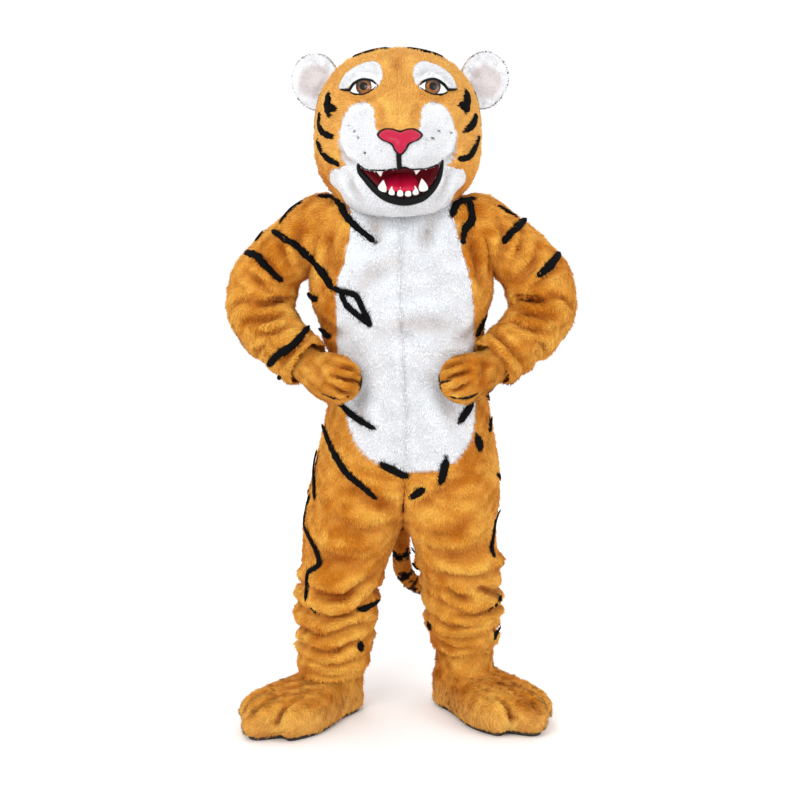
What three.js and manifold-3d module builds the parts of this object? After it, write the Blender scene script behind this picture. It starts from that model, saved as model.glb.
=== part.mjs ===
// A tiger mascot costume: body suit with a white belly, two mitten paws, two boot feet and a
// full head with an open mouth, in the stance of a wearer with both paws on the hips.
// Millimetres, +Z up, the costume faces -Y, and the wearer's left is +X. Tables give heights
// above the soles. The whole is then lowered so that the shoulder line lies at z = 0.
import * as THREE from 'three';
import { mergeVertices } from 'three/addons/utils/BufferGeometryUtils.js';
import Module from 'manifold-3d';

const wasm = await Module();
wasm.setup();

// ---------- driving dimensions ----------
const SHOULDER_HEIGHT = 1420; // soles to the shoulder line, where the wearer carries the suit
const CLOTH = 3; // pile fabric with its backing, pressed
const HEAD_WALL = 8; // pile fabric on a foam shell
const SEAM = 0.3; // gap between pieces at a seam
const NECK_TOP = 1480;
const RISE_TOP = 770; // where the torso starts to part into legs
const CROTCH = 559;
const SOLE_THICK = 12;
const ROLL_STEP = 28; // grid step down the gathered legs
const HALF_STEPS = 12; // grid steps round one half of the suit
const PANEL_FROM = 0.0006; // how far from the centre lines and side seams a panel's edge stays, in turns

const LEFT = { name: 'left', sign: 1, hem: 178, ankleBack: 38, splay: 38 };
const RIGHT = { name: 'right', sign: -1, hem: 116, ankleBack: -4, splay: 42 };
const SIDES = [LEFT, RIGHT];

// The suit's sections: half widths to the wearer's right and left of the middle line, and
// depths in front of and behind the frontal plane.
const torsoTable = [
  { height: 1480, mid: 2, right: 106, left: 106, front: 80, back: 84 },
  { height: 1467, mid: 3, right: 148, left: 148, front: 88, back: 104 },
  { height: 1457, mid: 4, right: 200, left: 202, front: 95, back: 118 },
  { height: 1440, mid: 5, right: 238, left: 242, front: 104, back: 126 },
  { height: 1400, mid: 4, right: 250, left: 254, front: 118, back: 133 },
  { height: 1310, mid: 3, right: 252, left: 253, front: 133, back: 136 },
  { height: 1202, mid: 2, right: 250, left: 252, front: 140, back: 132 },
  { height: 1113, mid: 5, right: 224, left: 226, front: 142, back: 124 },
  { height: 1060, mid: 9, right: 214, left: 217, front: 144, back: 122 },
  { height: 985, mid: 12, right: 214, left: 222, front: 149, back: 126 },
  { height: 889, mid: 18, right: 218, left: 228, front: 154, back: 140 },
  { height: 798, mid: 18, right: 236, left: 244, front: 155, back: 156 },
  { height: 706, mid: 15, right: 256, left: 262, front: 151, back: 162 },
  { height: 620, mid: 10, right: 270, left: 268, front: 147, back: 156 },
  { height: 559, mid: 8, right: 279, left: 261, front: 143, back: 150 },
];

// Trouser legs below the crotch, as distances from x = 0 on each leg's own side.
const legTables = {
  left: [
    { height: 559, inner: 8, outer: 269, front: 143, back: 150, middle: 0 },
    { height: 498, inner: 36, outer: 270, front: 130, back: 134, middle: 2 },
    { height: 436, inner: 52, outer: 284, front: 124, back: 122, middle: 6 },
    { height: 384, inner: 63, outer: 278, front: 112, back: 114, middle: 12 },
    { height: 337, inner: 72, outer: 280, front: 106, back: 108, middle: 18 },
    { height: 290, inner: 72, outer: 279, front: 102, back: 104, middle: 25 },
    { height: 242, inner: 82, outer: 278, front: 98, back: 99, middle: 31 },
    { height: 195, inner: 93, outer: 272, front: 93, back: 94, middle: 36 },
    { height: 160, inner: 98, outer: 272, front: 91, back: 91, middle: 38 },
  ],
  right: [
    { height: 559, inner: -8, outer: 271, front: 143, back: 150, middle: 0 },
    { height: 498, inner: 14, outer: 273, front: 132, back: 136, middle: -2 },
    { height: 436, inner: 38, outer: 276, front: 124, back: 124, middle: -3 },
    { height: 384, inner: 58, outer: 282, front: 116, back: 116, middle: -4 },
    { height: 337, inner: 67, outer: 281, front: 112, back: 110, middle: -4 },
    { height: 290, inner: 70, outer: 288, front: 108, back: 106, middle: -4 },
    { height: 242, inner: 78, outer: 286, front: 104, back: 102, middle: -4 },
    { height: 195, inner: 84, outer: 284, front: 100, back: 98, middle: -4 },
    { height: 116, inner: 102, outer: 290, front: 98, back: 94, middle: -4 },
  ],
};

// Where the trouser legs gather above the boots: each roll stands out by reach at its height,
// most at its facing, a turn from 0 (inseam) by way of 0.25 (front) to 0.5 (outside).
const rollTables = {
  left: [
    { height: 428, reach: 14, spread: 20, facing: 0.3 },
    { height: 340, reach: 9, spread: 15, facing: 0.15 },
    { height: 292, reach: 10, spread: 14, facing: 0.4 },
    { height: 246, reach: 9, spread: 13, facing: 0.2 },
    { height: 203, reach: 9, spread: 12, facing: 0.45 },
  ],
  right: [
    { height: 395, reach: 8, spread: 18, facing: 0.2 },
    { height: 345, reach: 9, spread: 15, facing: 0.35 },
    { height: 292, reach: 13, spread: 16, facing: 0.45 },
    { height: 240, reach: 9, spread: 14, facing: 0.2 },
    { height: 195, reach: 10, spread: 14, facing: 0.4 },
    { height: 150, reach: 9, spread: 13, facing: 0.25 },
  ],
};

// A sleeve runs from inside the shoulder round the elbow to the cuff on the hip. x is the
// distance out from the middle, half the width across the bend, deep the half depth.
const sleeveTable = [
  { along: 0.0, x: 195, y: 4, height: 1400, half: 86, deep: 88 },
  { along: 0.2, x: 266, y: 5, height: 1350, half: 79, deep: 85 },
  { along: 0.38, x: 338, y: 8, height: 1282, half: 84, deep: 86 },
  { along: 0.5, x: 379, y: 8, height: 1216, half: 93, deep: 88 },
  { along: 0.6, x: 388, y: -2, height: 1160, half: 91, deep: 87 },
  { along: 0.7, x: 363, y: -28, height: 1110, half: 83, deep: 82 },
  { along: 0.8, x: 321, y: -62, height: 1072, half: 74, deep: 73 },
  { along: 0.9, x: 285, y: -92, height: 1042, half: 71, deep: 67 },
  { along: 1.0, x: 250, y: -116, height: 1017, half: 66, deep: 62 },
];
const sleeveRolls = [
  { along: 0.33, reach: 6, spread: 0.035, facing: 0.5 },
  { along: 0.46, reach: 5, spread: 0.03, facing: 0.5 },
  { along: 0.74, reach: 7, spread: 0.035, facing: 0.1 },
  { along: 0.86, reach: 6, spread: 0.03, facing: 0.0 },
  { along: 0.96, reach: 7, spread: 0.028, facing: 0.05 },
];
const SLEEVE_OUT = { left: 8, right: 0 }; // the left arm is held this much further out

// A paw, from the wrist inside the cuff to the fingertips on the belly.
const pawTable = [
  { along: 0.0, x: 272, y: -104, height: 1028, half: 44, deep: 40 },
  { along: 0.25, x: 238, y: -130, height: 1005, half: 48, deep: 42 },
  { along: 0.5, x: 202, y: -156, height: 990, half: 62, deep: 45 },
  { along: 0.75, x: 162, y: -176, height: 978, half: 65, deep: 44 },
  { along: 1.0, x: 106, y: -187, height: 964, half: 50, deep: 34 },
];
const FINGERS = 4;
const FINGER_DEPTH = 0.06; // share of the paw's depth that a finger stands out by

// A boot foot: how far each level reaches ahead of and behind the ankle, and its half widths
// at the heel and across the toes.
const footTable = [
  { height: 200, ahead: 74, behind: 74, heel: 74, toes: 74 },
  { height: 150, ahead: 74, behind: 76, heel: 74, toes: 74 },
  { height: 112, ahead: 77, behind: 79, heel: 75, toes: 78 },
  { height: 98, ahead: 122, behind: 82, heel: 78, toes: 92 },
  { height: 86, ahead: 206, behind: 85, heel: 80, toes: 112 },
  { height: 70, ahead: 276, behind: 86, heel: 81, toes: 130 },
  { height: 44, ahead: 306, behind: 86, heel: 82, toes: 138 },
  { height: 24, ahead: 302, behind: 85, heel: 82, toes: 136 },
  { height: SOLE_THICK + SEAM, ahead: 292, behind: 82, heel: 80, toes: 131 },
];
const TOES = 4;
const TOE_DEPTH = 0.035; // share of the foot's length that a toe stands out by
const ANKLE_OUT = { left: 187, right: 198 };

// The tail hangs behind the seat and its end curls past the left calf.
const tailTable = [
  { along: 0.0, x: 14, y: 120, height: 850, half: 34 },
  { along: 0.15, x: 14, y: 196, height: 770, half: 32 },
  { along: 0.35, x: 8, y: 216, height: 640, half: 29 },
  { along: 0.55, x: 0, y: 196, height: 510, half: 26 },
  { along: 0.7, x: 6, y: 182, height: 378, half: 25 },
  { along: 0.8, x: 40, y: 186, height: 322, half: 24 },
  { along: 0.9, x: 96, y: 196, height: 304, half: 22 },
  { along: 1.0, x: 150, y: 204, height: 336, half: 16 },
];

// The head is a rounded form about its centre, raised and lowered by soft bumps. Angles are
// degrees: turn to the wearer's left of straight ahead, and lift above level.
const HEAD = { x: -6, y: -15, height: 1640, side: 221, front: 188, back: 214, up: 214, down: 232 };
const HEAD_SQUARENESS = 2.3;
const bumpTable = [
  { what: 'muzzle', turn: 0, lift: -14, wide: 27, tall: 21, out: 84 },
  { what: 'lip pad', turn: 13, lift: -13, wide: 12, tall: 12, out: 14 },
  { what: 'lip pad', turn: -13, lift: -13, wide: 12, tall: 12, out: 14 },
  { what: 'jaw', turn: 0, lift: -47, wide: 30, tall: 15, out: 70 },
  { what: 'bridge', turn: 0, lift: 8, wide: 10, tall: 18, out: 14 },
  { what: 'brow', turn: 22, lift: 29, wide: 15, tall: 9, out: 12 },
  { what: 'brow', turn: -22, lift: 29, wide: 15, tall: 9, out: 12 },
  { what: 'socket', turn: 24, lift: 14, wide: 10, tall: 7, out: -9 },
  { what: 'socket', turn: -24, lift: 14, wide: 10, tall: 7, out: -9 },
  { what: 'cheek', turn: 66, lift: -26, wide: 26, tall: 22, out: 12 },
  { what: 'cheek', turn: -66, lift: -26, wide: 26, tall: 22, out: 12 },
];
const rimTable = [ // how far below level the neck rim lies, by the turn from straight ahead
  { turn: 0, drop: 61 },
  { turn: 35, drop: 57 },
  { turn: 70, drop: 46 },
  { turn: 110, drop: 43 },
  { turn: 180, drop: 47 },
];

const materials = {
  orange: { color: 0xd9923a, roughness: 0.95, metalness: 0 },
  white: { color: 0xe9e9ee, roughness: 0.95, metalness: 0 },
  black: { color: 0x151414, roughness: 0.8, metalness: 0 },
  crimson: { color: 0xc80032, roughness: 0.5, metalness: 0 },
  mouth: { color: 0x7a0a18, roughness: 0.7, metalness: 0 },
  tooth: { color: 0xf4f2ea, roughness: 0.35, metalness: 0 },
  iris: { color: 0x8c5220, roughness: 0.25, metalness: 0 },
  sole: { color: 0x3a2a1c, roughness: 0.9, metalness: 0 },
};

// ---------- reading tables ----------
const clamp = (value, low, high) => Math.min(high, Math.max(low, value));
const mix = (a, b, share) => a + (b - a) * share;
const smooth = (share) => share * share * (3 - 2 * share);

// A column of a table at a place between its rows, on a smooth curve that never overshoots.
function read(table, key, column, at) {
  const rows = table[0][key] <= table[table.length - 1][key] ? table : [...table].reverse();
  const last = rows.length - 1;
  const place = clamp(at, rows[0][key], rows[last][key]);
  let i = 0;
  while (i < last - 1 && rows[i + 1][key] < place) i += 1;
  const step = (k) => rows[k + 1][key] - rows[k][key];
  const slope = (k) => (rows[k + 1][column] - rows[k][column]) / step(k);
  const tangent = (k) => {
    if (k === 0) return slope(0);
    if (k === last) return slope(last - 1);
    const before = slope(k - 1);
    const after = slope(k);
    return before * after <= 0 ? 0 : (2 * before * after) / (before + after);
  };
  const share = (place - rows[i][key]) / step(i);
  const rest = 1 - share;
  return rows[i][column] * (1 + 2 * share) * rest * rest
    + rows[i + 1][column] * share * share * (3 - 2 * share)
    + step(i) * (tangent(i) * share * rest * rest - tangent(i + 1) * share * share * rest);
}

const range = (from, to, steps) => Array.from({ length: steps + 1 }, (_, i) => mix(from, to, i / steps));

// ---------- solids from surfaces ----------
// The outward normal of a surface by small steps. sense is 1 or -1.
function normalOf(point, u, v, sense) {
  const e = 1e-3;
  const du = point(u + e, v).sub(point(u - e, v));
  const dv = point(u, v + e * 100).sub(point(u, v - e * 100));
  return du.cross(dv).normalize().multiplyScalar(sense);
}

// A closed solid between an outer and an inner skin over one grid of us by vs. A round grid
// joins its last column to its first. A tip closes the last row to one point. With no inner
// skin the outer one is closed by a flat fan at each open row.
function solidOf({ outer, inner, us, vs, round = false, tip = false }) {
  const points = [];
  const faces = [];
  const columns = round ? us.length - 1 : us.length;
  const rows = tip ? vs.length - 1 : vs.length;
  const skin = (at) => {
    const start = points.length;
    for (let j = 0; j < rows; j += 1) {
      for (let i = 0; i < columns; i += 1) points.push(at(us[i], vs[j]));
    }
    const peak = tip ? points.push(at(us[0], vs[rows])) - 1 : -1;
    return { start, peak, id: (i, j) => start + j * columns + (i % columns) };
  };
  const triangle = (a, b, c, turned) => faces.push(...(turned ? [a, c, b] : [a, b, c]));
  const quad = (a, b, c, d, turned) => {
    triangle(a, b, c, turned);
    triangle(a, c, d, turned);
  };
  const across = round ? columns : columns - 1;
  const lay = (side, turned) => {
    for (let j = 0; j < rows - 1; j += 1) {
      for (let i = 0; i < across; i += 1) {
        quad(side.id(i, j), side.id(i + 1, j), side.id(i + 1, j + 1), side.id(i, j + 1), turned);
      }
    }
    for (let i = 0; tip && i < across; i += 1) {
      triangle(side.id(i, rows - 1), side.id(i + 1, rows - 1), side.peak, turned);
    }
  };
  const out = skin(outer);
  lay(out, false);
  if (inner) {
    const back = skin(inner);
    lay(back, true);
    const join = (a, b, turned) => quad(out.id(...a), back.id(...a), back.id(...b), out.id(...b), turned);
    for (let i = 0; i < across; i += 1) {
      join([i, 0], [i + 1, 0], false);
      if (!tip) join([i, rows - 1], [i + 1, rows - 1], true);
    }
    for (let j = 0; !round && j < rows - 1; j += 1) {
      join([0, j], [0, j + 1], true);
      join([columns - 1, j], [columns - 1, j + 1], false);
    }
  } else {
    const fan = (j, turned) => {
      const centre = new THREE.Vector3();
      for (let i = 0; i < columns; i += 1) centre.addScaledVector(points[out.id(i, j)], 1 / columns);
      const hub = points.push(centre) - 1;
      for (let i = 0; i < across; i += 1) triangle(out.id(i, j), hub, out.id(i + 1, j), turned);
    };
    fan(0, false);
    if (!tip) fan(rows - 1, true);
  }
  const geometry = new THREE.BufferGeometry();
  const numbers = points.flatMap((p) => p.toArray());
  geometry.setAttribute('position', new THREE.Float32BufferAttribute(numbers, 3));
  geometry.setIndex(faces);
  return volumeOf(geometry) < 0 ? flipped(geometry) : geometry;
}

function volumeOf(geometry) {
  const at = geometry.getAttribute('position');
  const index = geometry.getIndex().array;
  const [a, b, c] = [new THREE.Vector3(), new THREE.Vector3(), new THREE.Vector3()];
  let sum = 0;
  for (let i = 0; i < index.length; i += 3) {
    a.fromBufferAttribute(at, index[i]);
    b.fromBufferAttribute(at, index[i + 1]);
    c.fromBufferAttribute(at, index[i + 2]);
    sum += a.dot(b.cross(c)) / 6;
  }
  return sum;
}

function flipped(geometry) {
  const index = Array.from(geometry.getIndex().array);
  for (let i = 0; i < index.length; i += 3) [index[i + 1], index[i + 2]] = [index[i + 2], index[i + 1]];
  geometry.setIndex(index);
  return geometry;
}

// A wall of cloth whose outer face is the surface itself.
function wallOf({ point, us, vs, thick, sense, round, tip }) {
  const inner = (u, v) => point(u, v).addScaledVector(normalOf(point, u, v, sense), -thick);
  return solidOf({ outer: point, inner, us, vs, round, tip });
}

// The geometry with only its positions left, and its doubled points merged.
function bare(geometry) {
  const copy = geometry.clone();
  copy.deleteAttribute('normal');
  copy.deleteAttribute('uv');
  return mergeVertices(copy, 1e-4);
}

function toManifold(geometry) {
  const merged = bare(geometry);
  return new wasm.Manifold(new wasm.Mesh({
    numProp: 3,
    vertProperties: new Float32Array(merged.getAttribute('position').array),
    triVerts: new Uint32Array(merged.getIndex().array),
  }));
}

// The largest single body of a cut solid, as a geometry.
function fromManifold(solid) {
  const bodies = solid.decompose();
  const largest = bodies.reduce((best, body) => (body.volume() > best.volume() ? body : best));
  const mesh = largest.getMesh();
  const geometry = new THREE.BufferGeometry();
  const points = new Float32Array((mesh.vertProperties.length / mesh.numProp) * 3);
  for (let i = 0; i < points.length / 3; i += 1) {
    for (let k = 0; k < 3; k += 1) points[i * 3 + k] = mesh.vertProperties[i * mesh.numProp + k];
  }
  geometry.setAttribute('position', new THREE.BufferAttribute(points, 3));
  geometry.setIndex(new THREE.BufferAttribute(new Uint32Array(mesh.triVerts), 1));
  return geometry;
}

// ---------- the suit ----------
// How far the gathered rolls stand out at a height and a turn round the leg.
function rollAt(table, key, u, at) {
  return table.reduce((sum, row) => {
    const off = (at - row[key]) / row.spread;
    return sum + row.reach * Math.exp(-off * off) * (0.65 + 0.35 * Math.cos(2 * Math.PI * (u - row.facing)));
  }, 0);
}

// One half of the suit: u runs from the front centre, or the inseam below the crotch, round
// the outside to the back centre. Above RISE_TOP the section is half a rounded box. Below
// CROTCH it is a whole leg. Between them it moves from one to the other, late at the centre
// lines, so that these close in the curve of a trouser rise.
function suitPoint(side, u, height) {
  const mid = side.sign * read(torsoTable, 'height', 'mid', height);
  const half = read(torsoTable, 'height', side.name, height);
  const front = read(torsoTable, 'height', 'front', height);
  const back = read(torsoTable, 'height', 'back', height);
  const turn = Math.PI * clamp(u, 0, 1);
  const cosine = Math.cos(turn);
  const reach = cosine > 0 ? front : back;
  const torsoX = mid + half * Math.sin(turn) ** 0.86;
  const torsoY = -Math.sign(cosine) * reach * Math.abs(cosine) ** 0.86;
  if (height >= RISE_TOP) return new THREE.Vector3(side.sign * torsoX, torsoY, height);

  const table = legTables[side.name];
  const low = height < CROTCH;
  const inner = low ? read(table, 'height', 'inner', height) : mid;
  const outer = low ? read(table, 'height', 'outer', height) : mid + half;
  const legFront = low ? read(table, 'height', 'front', height) : front;
  const legBack = low ? read(table, 'height', 'back', height) : back;
  const middle = low ? read(table, 'height', 'middle', height) : 0;
  const round = 2 * turn;
  const swell = low ? rollAt(rollTables[side.name], 'height', u, height) : 0;
  const legX = (inner + outer) / 2 - ((outer - inner) / 2 + swell) * Math.cos(round);
  const legY = middle - ((round < Math.PI ? legFront : legBack) + swell) * Math.sin(round);
  const down = clamp((RISE_TOP - height) / (RISE_TOP - CROTCH), 0, 1);
  const late = 1 - Math.sqrt(1 - down * down);
  const share = mix(smooth(down), late, Math.abs(cosine) ** 3);
  return new THREE.Vector3(side.sign * mix(torsoX, legX, share), mix(torsoY, legY, share), height);
}

function suitRows(side) {
  const heights = [NECK_TOP, 1467, 1455, 1436, ...range(1400, 850, 6), RISE_TOP, 700, 640, 590];
  const steps = Math.round((CROTCH - side.hem) / ROLL_STEP);
  return [...heights, ...range(CROTCH, side.hem, steps)];
}

// The front or back half panel of one side, as a wall.
function suitPanel(side, from, to) {
  return wallOf({
    point: (u, height) => suitPoint(side, u, height),
    us: range(from, to, HALF_STEPS / 2),
    vs: suitRows(side),
    thick: CLOTH,
    sense: side.sign,
  });
}

// The whole upper suit as one filled form, grown a little, for cutting what is sewn to it.
function torsoForm(grow) {
  const heights = suitRows(LEFT).filter((height) => height > 600);
  const around = range(0, 2, 2 * HALF_STEPS);
  const outer = (turn, height) => {
    const side = turn <= 1 ? LEFT : RIGHT;
    const u = turn <= 1 ? turn : 2 - turn;
    const point = (a, b) => suitPoint(side, a, b);
    const inside = clamp(u, 0.004, 0.996);
    return point(u, height).addScaledVector(normalOf(point, inside, height, side.sign), grow);
  };
  return toManifold(solidOf({ outer, us: around, vs: heights, round: true }));
}

// A closed front-view outline, as points on a smooth curve, moved out by grow.
function outlineOf(corners, steps, grow = 0) {
  const knots = corners.map(([x, height]) => new THREE.Vector3(x, 0, height));
  const points = new THREE.CatmullRomCurve3(knots, true, 'centripetal').getPoints(steps).slice(0, steps);
  const next = (i) => points[(i + 1) % steps];
  const before = (i) => points[(i + steps - 1) % steps];
  const area = points.reduce((sum, p, i) => sum + p.x * next(i).z - next(i).x * p.z, 0);
  return points.map((p, i) => {
    const along = next(i).clone().sub(before(i)).normalize();
    const out = new THREE.Vector3(along.z, 0, -along.x).multiplyScalar(Math.sign(area) * grow);
    return p.clone().add(out);
  });
}

// A straight cutter through a front-view outline, from one depth to another.
function cutterOf(points, near, far) {
  const shape = new THREE.Shape(points.map((p) => new THREE.Vector2(p.x, p.z)));
  const geometry = new THREE.ExtrudeGeometry(shape, { depth: far - near, bevelEnabled: false, steps: 1 });
  geometry.rotateX(Math.PI / 2);
  geometry.translate(0, far, 0);
  return toManifold(geometry);
}

// The white belly: chest to the bottom of the trunk, seen from the front.
const bellyOutline = [
  [-126, 1500], [-130, 1400], [-150, 1290], [-170, 1225], [-172, 1120], [-168, 1010], [-148, 885],
  [-134, 828], [-104, 780], [-52, 738], [18, 722], [82, 724], [142, 746], [190, 800], [206, 880],
  [205, 1010], [200, 1140], [192, 1225], [168, 1310], [146, 1400], [134, 1500],
];

function sleevePlace(side, column, along) {
  const value = read(sleeveTable, 'along', column, along);
  const bend = smooth(1 - Math.abs(2 * along - 1));
  return column === 'x' ? value + SLEEVE_OUT[side.name] * bend : value;
}

// A tube's axis point and its two cross directions: one in the plane of the bend, one deep.
function frameAlong(place, along) {
  const at = (a) => new THREE.Vector3(place('x', a), place('y', a), place('height', a));
  const tangent = at(clamp(along + 0.01, 0, 1)).sub(at(clamp(along - 0.01, 0, 1))).normalize();
  const deep = new THREE.Vector3(0, 1, 0).addScaledVector(tangent, -tangent.y).normalize();
  return { centre: at(along), across: tangent.cross(deep), deep };
}

const mirrored = (side, point) => new THREE.Vector3(side.sign * point.x, point.y, point.z);

function sleevePoint(side, u, along, grow = 0) {
  const { centre, across, deep } = frameAlong((column, a) => sleevePlace(side, column, a), along);
  const swell = rollAt(sleeveRolls, 'along', u, along) + grow;
  const turn = 2 * Math.PI * u;
  const point = centre
    .addScaledVector(across, Math.cos(turn) * (read(sleeveTable, 'along', 'half', along) + swell))
    .addScaledVector(deep, Math.sin(turn) * (read(sleeveTable, 'along', 'deep', along) + swell));
  return mirrored(side, point);
}

const sleeveTurns = range(0, 1, 12);
const sleeveRows = [...range(0, 0.64, 6), 0.74, 0.8, 0.86, 0.91, 0.96, 1];

function sleeveWall(side) {
  return solidOf({
    outer: (u, along) => sleevePoint(side, u, along),
    inner: (u, along) => sleevePoint(side, u, along, -CLOTH),
    us: sleeveTurns,
    vs: sleeveRows,
    round: true,
  });
}

// The first stretch of the sleeve's hollow, which cuts the armhole.
function armholeForm(side) {
  return toManifold(solidOf({
    outer: (u, along) => sleevePoint(side, u, along, -CLOTH - SEAM),
    us: sleeveTurns,
    vs: sleeveRows.filter((along) => along < 0.4),
    round: true,
  }));
}

// ---------- paws ----------
// A mitten: fingers show as lobes towards its end.
function pawPoint(side, u, along, grow = 0) {
  const { centre, across, deep } = frameAlong((column, a) => read(pawTable, 'along', column, a), along);
  const turn = 2 * Math.PI * u;
  const end = Math.sqrt(Math.max(0, 1 - clamp((along - 0.72) / 0.28, 0, 1) ** 2.4));
  const late = smooth(clamp((along - 0.5) / 0.3, 0, 1));
  const lobes = 1 + FINGER_DEPTH * Math.cos(FINGERS * Math.PI * Math.cos(turn)) * late;
  const half = (read(pawTable, 'along', 'half', along) + grow) * end;
  const thick = (read(pawTable, 'along', 'deep', along) * lobes + grow) * end;
  const point = centre
    .addScaledVector(across, Math.cos(turn) * half)
    .addScaledVector(deep, Math.sin(turn) * thick);
  return mirrored(side, point);
}

const pawTurns = range(0, 1, 12);
const pawRows = [0, 0.25, 0.45, 0.62, 0.76, 0.87, 0.95, 1];

function pawWall(side) {
  return solidOf({
    outer: (u, along) => pawPoint(side, u, along),
    inner: (u, along) => pawPoint(side, u, Math.min(along, 0.985), -CLOTH),
    us: pawTurns,
    vs: pawRows,
    round: true,
    tip: true,
  });
}

// The mitten as a filled form, grown a little, for cutting what lies on it.
function pawForm(side, grow) {
  return toManifold(solidOf({
    outer: (u, along) => pawPoint(side, u, along, grow),
    us: pawTurns,
    vs: pawRows,
    round: true,
    tip: true,
  }));
}

// The black pad along the underside of the fingers, lying on the mitten.
function palmPad(side) {
  const pad = solidOf({
    outer: (u, along) => pawPoint(side, u, along, CLOTH),
    inner: (u, along) => pawPoint(side, u, along, -1),
    us: range(0.02, 0.34, 4),
    vs: [0.55, 0.7, 0.85, 0.95],
  });
  return fromManifold(toManifold(pad).subtract(pawForm(side, SEAM)));
}

// ---------- feet ----------
// A level of the boot as a rounded outline, wider across the toes, with toe lobes in front.
function footPoint(side, u, height, grow = 0) {
  const column = (name) => read(footTable, 'height', name, height);
  const turn = 2 * Math.PI * u;
  const ahead = Math.cos(turn);
  const aside = Math.sin(turn);
  const low = smooth(clamp((110 - height) / 50, 0, 1));
  const toes = Math.cos(2 * TOES * Math.asin(clamp(aside, -1, 1)));
  const lobes = 1 + TOE_DEPTH * low * Math.max(0, ahead) * toes;
  const long = (ahead > 0 ? column('ahead') * lobes : column('behind')) + grow;
  const forward = Math.sign(ahead) * Math.abs(ahead) ** 0.75 * long;
  const wide = mix(column('heel'), column('toes'), smooth(clamp(forward / 200, 0, 1))) + grow;
  const across = Math.sign(aside) * Math.abs(aside) ** 0.8 * wide;
  const splay = THREE.MathUtils.degToRad(side.splay);
  const x = ANKLE_OUT[side.name] + forward * Math.sin(splay) + across * Math.cos(splay);
  const y = side.ankleBack - forward * Math.cos(splay) + across * Math.sin(splay);
  return new THREE.Vector3(side.sign * x, y, height);
}

const footTurns = range(0, 1, 20);
const footRows = [200, 155, 112, 99, 86, 68, 40, SOLE_THICK + SEAM];

function footWall(side) {
  return solidOf({
    outer: (u, height) => footPoint(side, u, height),
    inner: (u, height) => footPoint(side, u, height - 0.6 * CLOTH * (height > 30 ? 1 : 0), -CLOTH),
    us: footTurns,
    vs: footRows,
    round: true,
  });
}

function solePlate(side) {
  return solidOf({
    outer: (u, height) => footPoint(side, u, SOLE_THICK + SEAM, 3).setZ(height),
    us: footTurns,
    vs: [SOLE_THICK, 0],
    round: true,
  });
}

// ---------- tail ----------
function tailPoint(u, along) {
  const { centre, across, deep } = frameAlong((column, a) => read(tailTable, 'along', column, a), along);
  const end = Math.sqrt(Math.max(0, 1 - clamp((along - 0.94) / 0.06, 0, 1) ** 2));
  const half = read(tailTable, 'along', 'half', along) * end;
  const turn = 2 * Math.PI * u;
  return centre
    .addScaledVector(across, Math.cos(turn) * half)
    .addScaledVector(deep, Math.sin(turn) * half);
}

function tailSolid() {
  return solidOf({
    outer: tailPoint,
    us: range(0, 1, 8),
    vs: [...range(0, 0.93, 12), 0.98, 1],
    round: true,
    tip: true,
  });
}

// ---------- head ----------
const degrees = THREE.MathUtils.degToRad;
const headCentre = new THREE.Vector3(HEAD.x, HEAD.y, HEAD.height);

function headDirection(turn, lift) {
  const flat = Math.cos(degrees(lift));
  const [aside, ahead] = [Math.sin(degrees(turn)), Math.cos(degrees(turn))];
  return new THREE.Vector3(aside * flat, -ahead * flat, Math.sin(degrees(lift)));
}

// How far the head's skin is from its centre in a direction.
function headReach(turn, lift) {
  const d = headDirection(turn, lift);
  const n = HEAD_SQUARENESS;
  const sum = Math.abs(d.x / HEAD.side) ** n
    + Math.abs(d.y / (d.y < 0 ? HEAD.front : HEAD.back)) ** n
    + Math.abs(d.z / (d.z < 0 ? HEAD.down : HEAD.up)) ** n;
  return bumpTable.reduce((reach, bump) => {
    const aside = (turn - bump.turn) * Math.cos(degrees(Math.min(60, Math.abs(lift))));
    const far = (aside / bump.wide) ** 2 + ((lift - bump.lift) / bump.tall) ** 2;
    return reach + bump.out * Math.exp(-far);
  }, sum ** (-1 / n));
}

const headPoint = (turn, lift, raise = 0) => headDirection(turn, lift)
  .multiplyScalar(headReach(turn, lift) + raise).add(headCentre);

// The turn and lift of the skin behind a point of the front view, found by halving.
function faceAngles(x, height) {
  let near = -380;
  let far = HEAD.y;
  const anglesAt = (y) => {
    const d = new THREE.Vector3(x, y, height).sub(headCentre);
    const turn = THREE.MathUtils.radToDeg(Math.atan2(d.x, -d.y));
    const lift = THREE.MathUtils.radToDeg(Math.asin(d.z / d.length()));
    return { turn, lift, outside: d.length() > headReach(turn, lift) };
  };
  for (let i = 0; i < 30; i += 1) {
    const y = (near + far) / 2;
    if (anglesAt(y).outside) near = y;
    else far = y;
  }
  return anglesAt(far);
}

const facePoint = (x, height, raise = 0) => {
  const { turn, lift } = faceAngles(x, height);
  return headPoint(turn, lift, raise);
};

const liftAt = (turn, v) => mix(90, -read(rimTable, 'turn', 'drop', Math.abs(turn)), v);
const headTurns = range(-180, 180, 20);
const headRows = [0, 0.1, 0.19, 0.28, 0.36, 0.44, 0.52, 0.6, 0.68, 0.76, 0.85, 1];

// The head's skin from the crown to the neck rim, at a distance from its outer face.
function headForm(raise, inside) {
  const at = (distance) => (turn, v) => headPoint(turn, liftAt(turn, 1 - v), distance);
  return solidOf({
    outer: at(raise),
    inner: inside === undefined ? null : at(inside),
    us: headTurns,
    vs: headRows,
    round: true,
    tip: true,
  });
}

const WEDGE = { from: 60, to: 700 }; // from inside the head's wall to well outside it

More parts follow.
